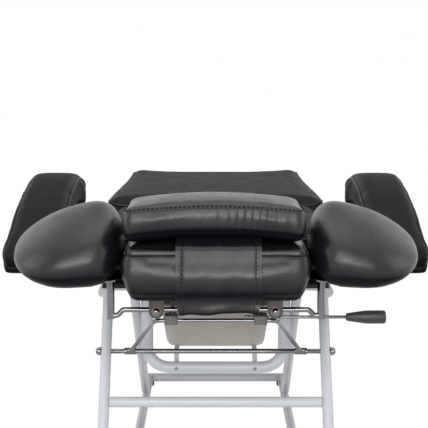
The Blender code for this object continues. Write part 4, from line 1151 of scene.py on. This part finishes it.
# %% Form of a calf rest
CALF_WIDTH, CALF_LENGTH, CALF_HEIGHT, CALF_BASE = 0.250, 0.296, 0.1177, 0.0482
CALF_ROLL, CALF_PITCH = math.radians(6.3), math.radians(15.8)
CALF_PLACE = Vector((0.3316, 0.1413, 0.5902))
CALF_LEAN, CALF_SPREAD, CALF_FLATNESS, CALF_DROP = 0.394, 0.032, 1.54, 0.169
INNER_ROUNDNESS, OUTER_ROUNDNESS, LENGTH_ROUNDNESS = 0.50, 1.08, 0.83


def calf_point(side, ball):
    """Where a point of a unit ball lies on a calf rest."""
    roundness = INNER_ROUNDNESS if ball.x * side < 0 else OUTER_ROUNDNESS
    across = math.copysign(abs(ball.x) ** roundness, ball.x)
    along = math.copysign(abs(ball.y) ** LENGTH_ROUNDNESS, ball.y)
    height = ball.z * (CALF_HEIGHT - CALF_BASE) * (1 - CALF_LEAN * side * across)
    if ball.z < 0:
        height = -CALF_BASE * (1 - CALF_DROP * side * across) * min(1.0, -ball.z * CALF_FLATNESS)
    local = Vector((across * (1 + CALF_SPREAD * along) * CALF_WIDTH / 2, along * CALF_LENGTH / 2, height))
    turn = Matrix.Rotation(side * CALF_ROLL, 3, "Y") @ Matrix.Rotation(CALF_PITCH, 3, "X")
    return turn @ local + Vector((side * CALF_PLACE.x, FOOT_END_Y + CALF_PLACE.y, CALF_PLACE.z))


print("calf rest form ready")

# %% Calf rest covers
CALF_SEAM, CALF_SEAM_STEPS = -0.56, 90
for side, label in SIDES:
    node = f"calf_pad_{label}"
    bm = bmesh.new()
    bmesh.ops.create_uvsphere(bm, u_segments=72, v_segments=36, radius=1.0)
    for vert in bm.verts:
        vert.co = calf_point(side, vert.co.copy())
    calf = stuffed(bm, f"calf_cover_{label}", BLACK_LEATHERETTE, voxel=0.006, cap=0.003,
                   held=base_test(node, 0.008), pressure=3.0)
    around = math.sqrt(1 - CALF_SEAM ** 2)
    turns = [math.tau * k / CALF_SEAM_STEPS for k in range(CALF_SEAM_STEPS)]
    ring = [Vector((around * math.cos(turn), around * math.sin(turn), CALF_SEAM)) for turn in turns]
    seam_route = even_route([calf_point(side, ball) for ball in ring], spacing=0.005)
    press_groove(calf, cover_seam(calf, seam_route), width=0.0035, depth=0.0012)
    upholster(calf, node)

# %% [markdown]
# ## Armrests
# Each armrest is an arched pad with a top panel, a side strip and piping along both edges of the top. The
# arch is already in the frame's solid, so that is splayed a little towards its base and then stuffed. The
# piping follows the edge of the top panel: points above the edge drop onto the pad, and the cord is laid
# where they land.

# %% Armrests
DROP_HEIGHT, DOWN = 3.0, Vector((0, 0, -1))
ARM_HELD, ARM_SEAM_EDGE, ARM_SEAM_FLOOR = 0.01, 0.001, 0.010
ARM_SEAM_STEPS, ARM_END_GAP = 90, 0.003
ARM_SPLAY_OUT, ARM_SPLAY_IN = 0.016, 0.018
ARM_SEAM_INSET, ARM_SEAM_DROP, ARM_END_DIP = 0.012, 0.013, 0.05


def edge_line(tree, x, inset, low, high):
    """The upper edge of an armrest's side, from its near end to its far end."""
    line = []
    for step in range(ARM_SEAM_STEPS + 1):
        share = (1 - math.cos(math.pi * step / ARM_SEAM_STEPS))
        y = low.y + ARM_END_GAP + (high.y - low.y - 2 * ARM_END_GAP) * share / 2
        hit = tree.ray_cast(Vector((x - inset, y, DROP_HEIGHT)), DOWN)[0]
        if hit:
            dip = ARM_END_DIP * max(0.0, 1 - (y - low.y) / ARM_END_DIP)
            line.append(Vector((x, y, max(low.z + ARM_SEAM_FLOOR, hit.z - ARM_SEAM_DROP - dip))))
    return line


print("armrest edges ready")

# %% Armrest covers
for side, label in SIDES:
    node = f"armrest_pad_{label}"
    low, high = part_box(node)
    centre_x = (low.x + high.x) / 2
    bm = solid_copy(node, 0.0)
    for vert in bm.verts:
        depth = (high.z - vert.co.z) / (high.z - low.z)
        away = (vert.co.x - centre_x) * side
        vert.co.x += side * depth * (ARM_SPLAY_OUT if away > 0 else -ARM_SPLAY_IN)
    arm = stuffed(bm, f"armrest_cover_{label}", MATTE_LEATHERETTE, voxel=0.006, cap=0.004,
                  held=lambda p, level=low.z + ARM_HELD: p.z < level, rounds=2)
    tree = surface_tree(arm)
    left = edge_line(tree, low.x + ARM_SEAM_EDGE, -ARM_SEAM_INSET, low, high)
    right = edge_line(tree, high.x - ARM_SEAM_EDGE, ARM_SEAM_INSET, low, high)
    arm_seam = cover_seam(arm, even_route(left + right[::-1], spacing=0.005), 5)
    press_groove(arm, arm_seam, width=0.004, depth=0.0012)
    piping(f"armrest_piping_{label}", arm_seam, radius=0.0026, lift=0.0006, body=BODY_OF[node])
    upholster(arm, node)

# %% [markdown]
# ## Seat and backrest
# The seat is hidden by the leg rest from the front, and the long backrest closes the view behind it. Both
# are boxed pads with piping round the top panel. The backrest narrows towards the head end and its far
# corners stand up a little, which the frame's solid already does. Stuffing rounds its edges off, so its
# copy is spread by a few per cent first.

# %% Seat pad and backrest pad
PAD_VOXEL, PAD_CAP, PAD_HELD = 0.008, 0.008, 0.012
PAD_CORNER, PAD_EDGE, PAD_INSET = 0.035, 0.004, 0.020
SEAT_SHRINK, BACK_SPREAD = 0.004, 1.032
HEAD_END = 0.06


def top_edge_seam(pad, outline, inset, spacing=0.005):
    """A closed seam round the top of a pad: points inside the outline drop on it and move to its edge."""
    tree = surface_tree(pad)
    centre = sum(outline, Vector()) / len(outline)
    route = []
    for point in even_route(outline, spacing):
        step = Vector((point.x - centre.x, point.y - centre.y, 0)).normalized() * inset
        hit = tree.ray_cast(Vector((point.x, point.y, 0)) - step + Vector((0, 0, DROP_HEIGHT)), DOWN)[0]
        if hit:
            route.append(hit + step)
    return cover_seam(pad, even_route(route, spacing), 6)


print("top edge seam ready")

# %% Seat and backrest covers
for node, shrink, spread in (("seat_pad", SEAT_SHRINK, 1.0), ("backrest_pad", 0.0, BACK_SPREAD)):
    low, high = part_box(node)
    loft = solid_copy(node, shrink)
    for vert in loft.verts:
        vert.co.x *= spread
    pad = stuffed(loft, node.replace("_pad", "_cover"), MATTE_LEATHERETTE, PAD_VOXEL, PAD_CAP,
                  lambda p, level=low.z + PAD_HELD: p.z < level)
    centre, half = (low + high) / 2, (high - low) / 2
    ring = rounded_ring(half.x - PAD_EDGE, half.y - PAD_EDGE, PAD_CORNER)
    outline = [Vector((centre.x, centre.y, 0)) + p for p in ring]
    if node == "backrest_pad":
        taper = max(v.co.x for v in frame["nodes"][node].data.vertices if v.co.y > high.y - HEAD_END) / half.x
        for point in outline:
            point.x *= 1 + (taper - 1) * (point.y - low.y) / (high.y - low.y)
    seam = top_edge_seam(pad, outline, PAD_INSET)
    press_groove(pad, seam, width=0.006, depth=0.0016)
    piping(node.replace("_pad", "_piping"), seam, radius=0.0030, lift=0.0004, body=BODY_OF[node])
    upholster(pad, node)
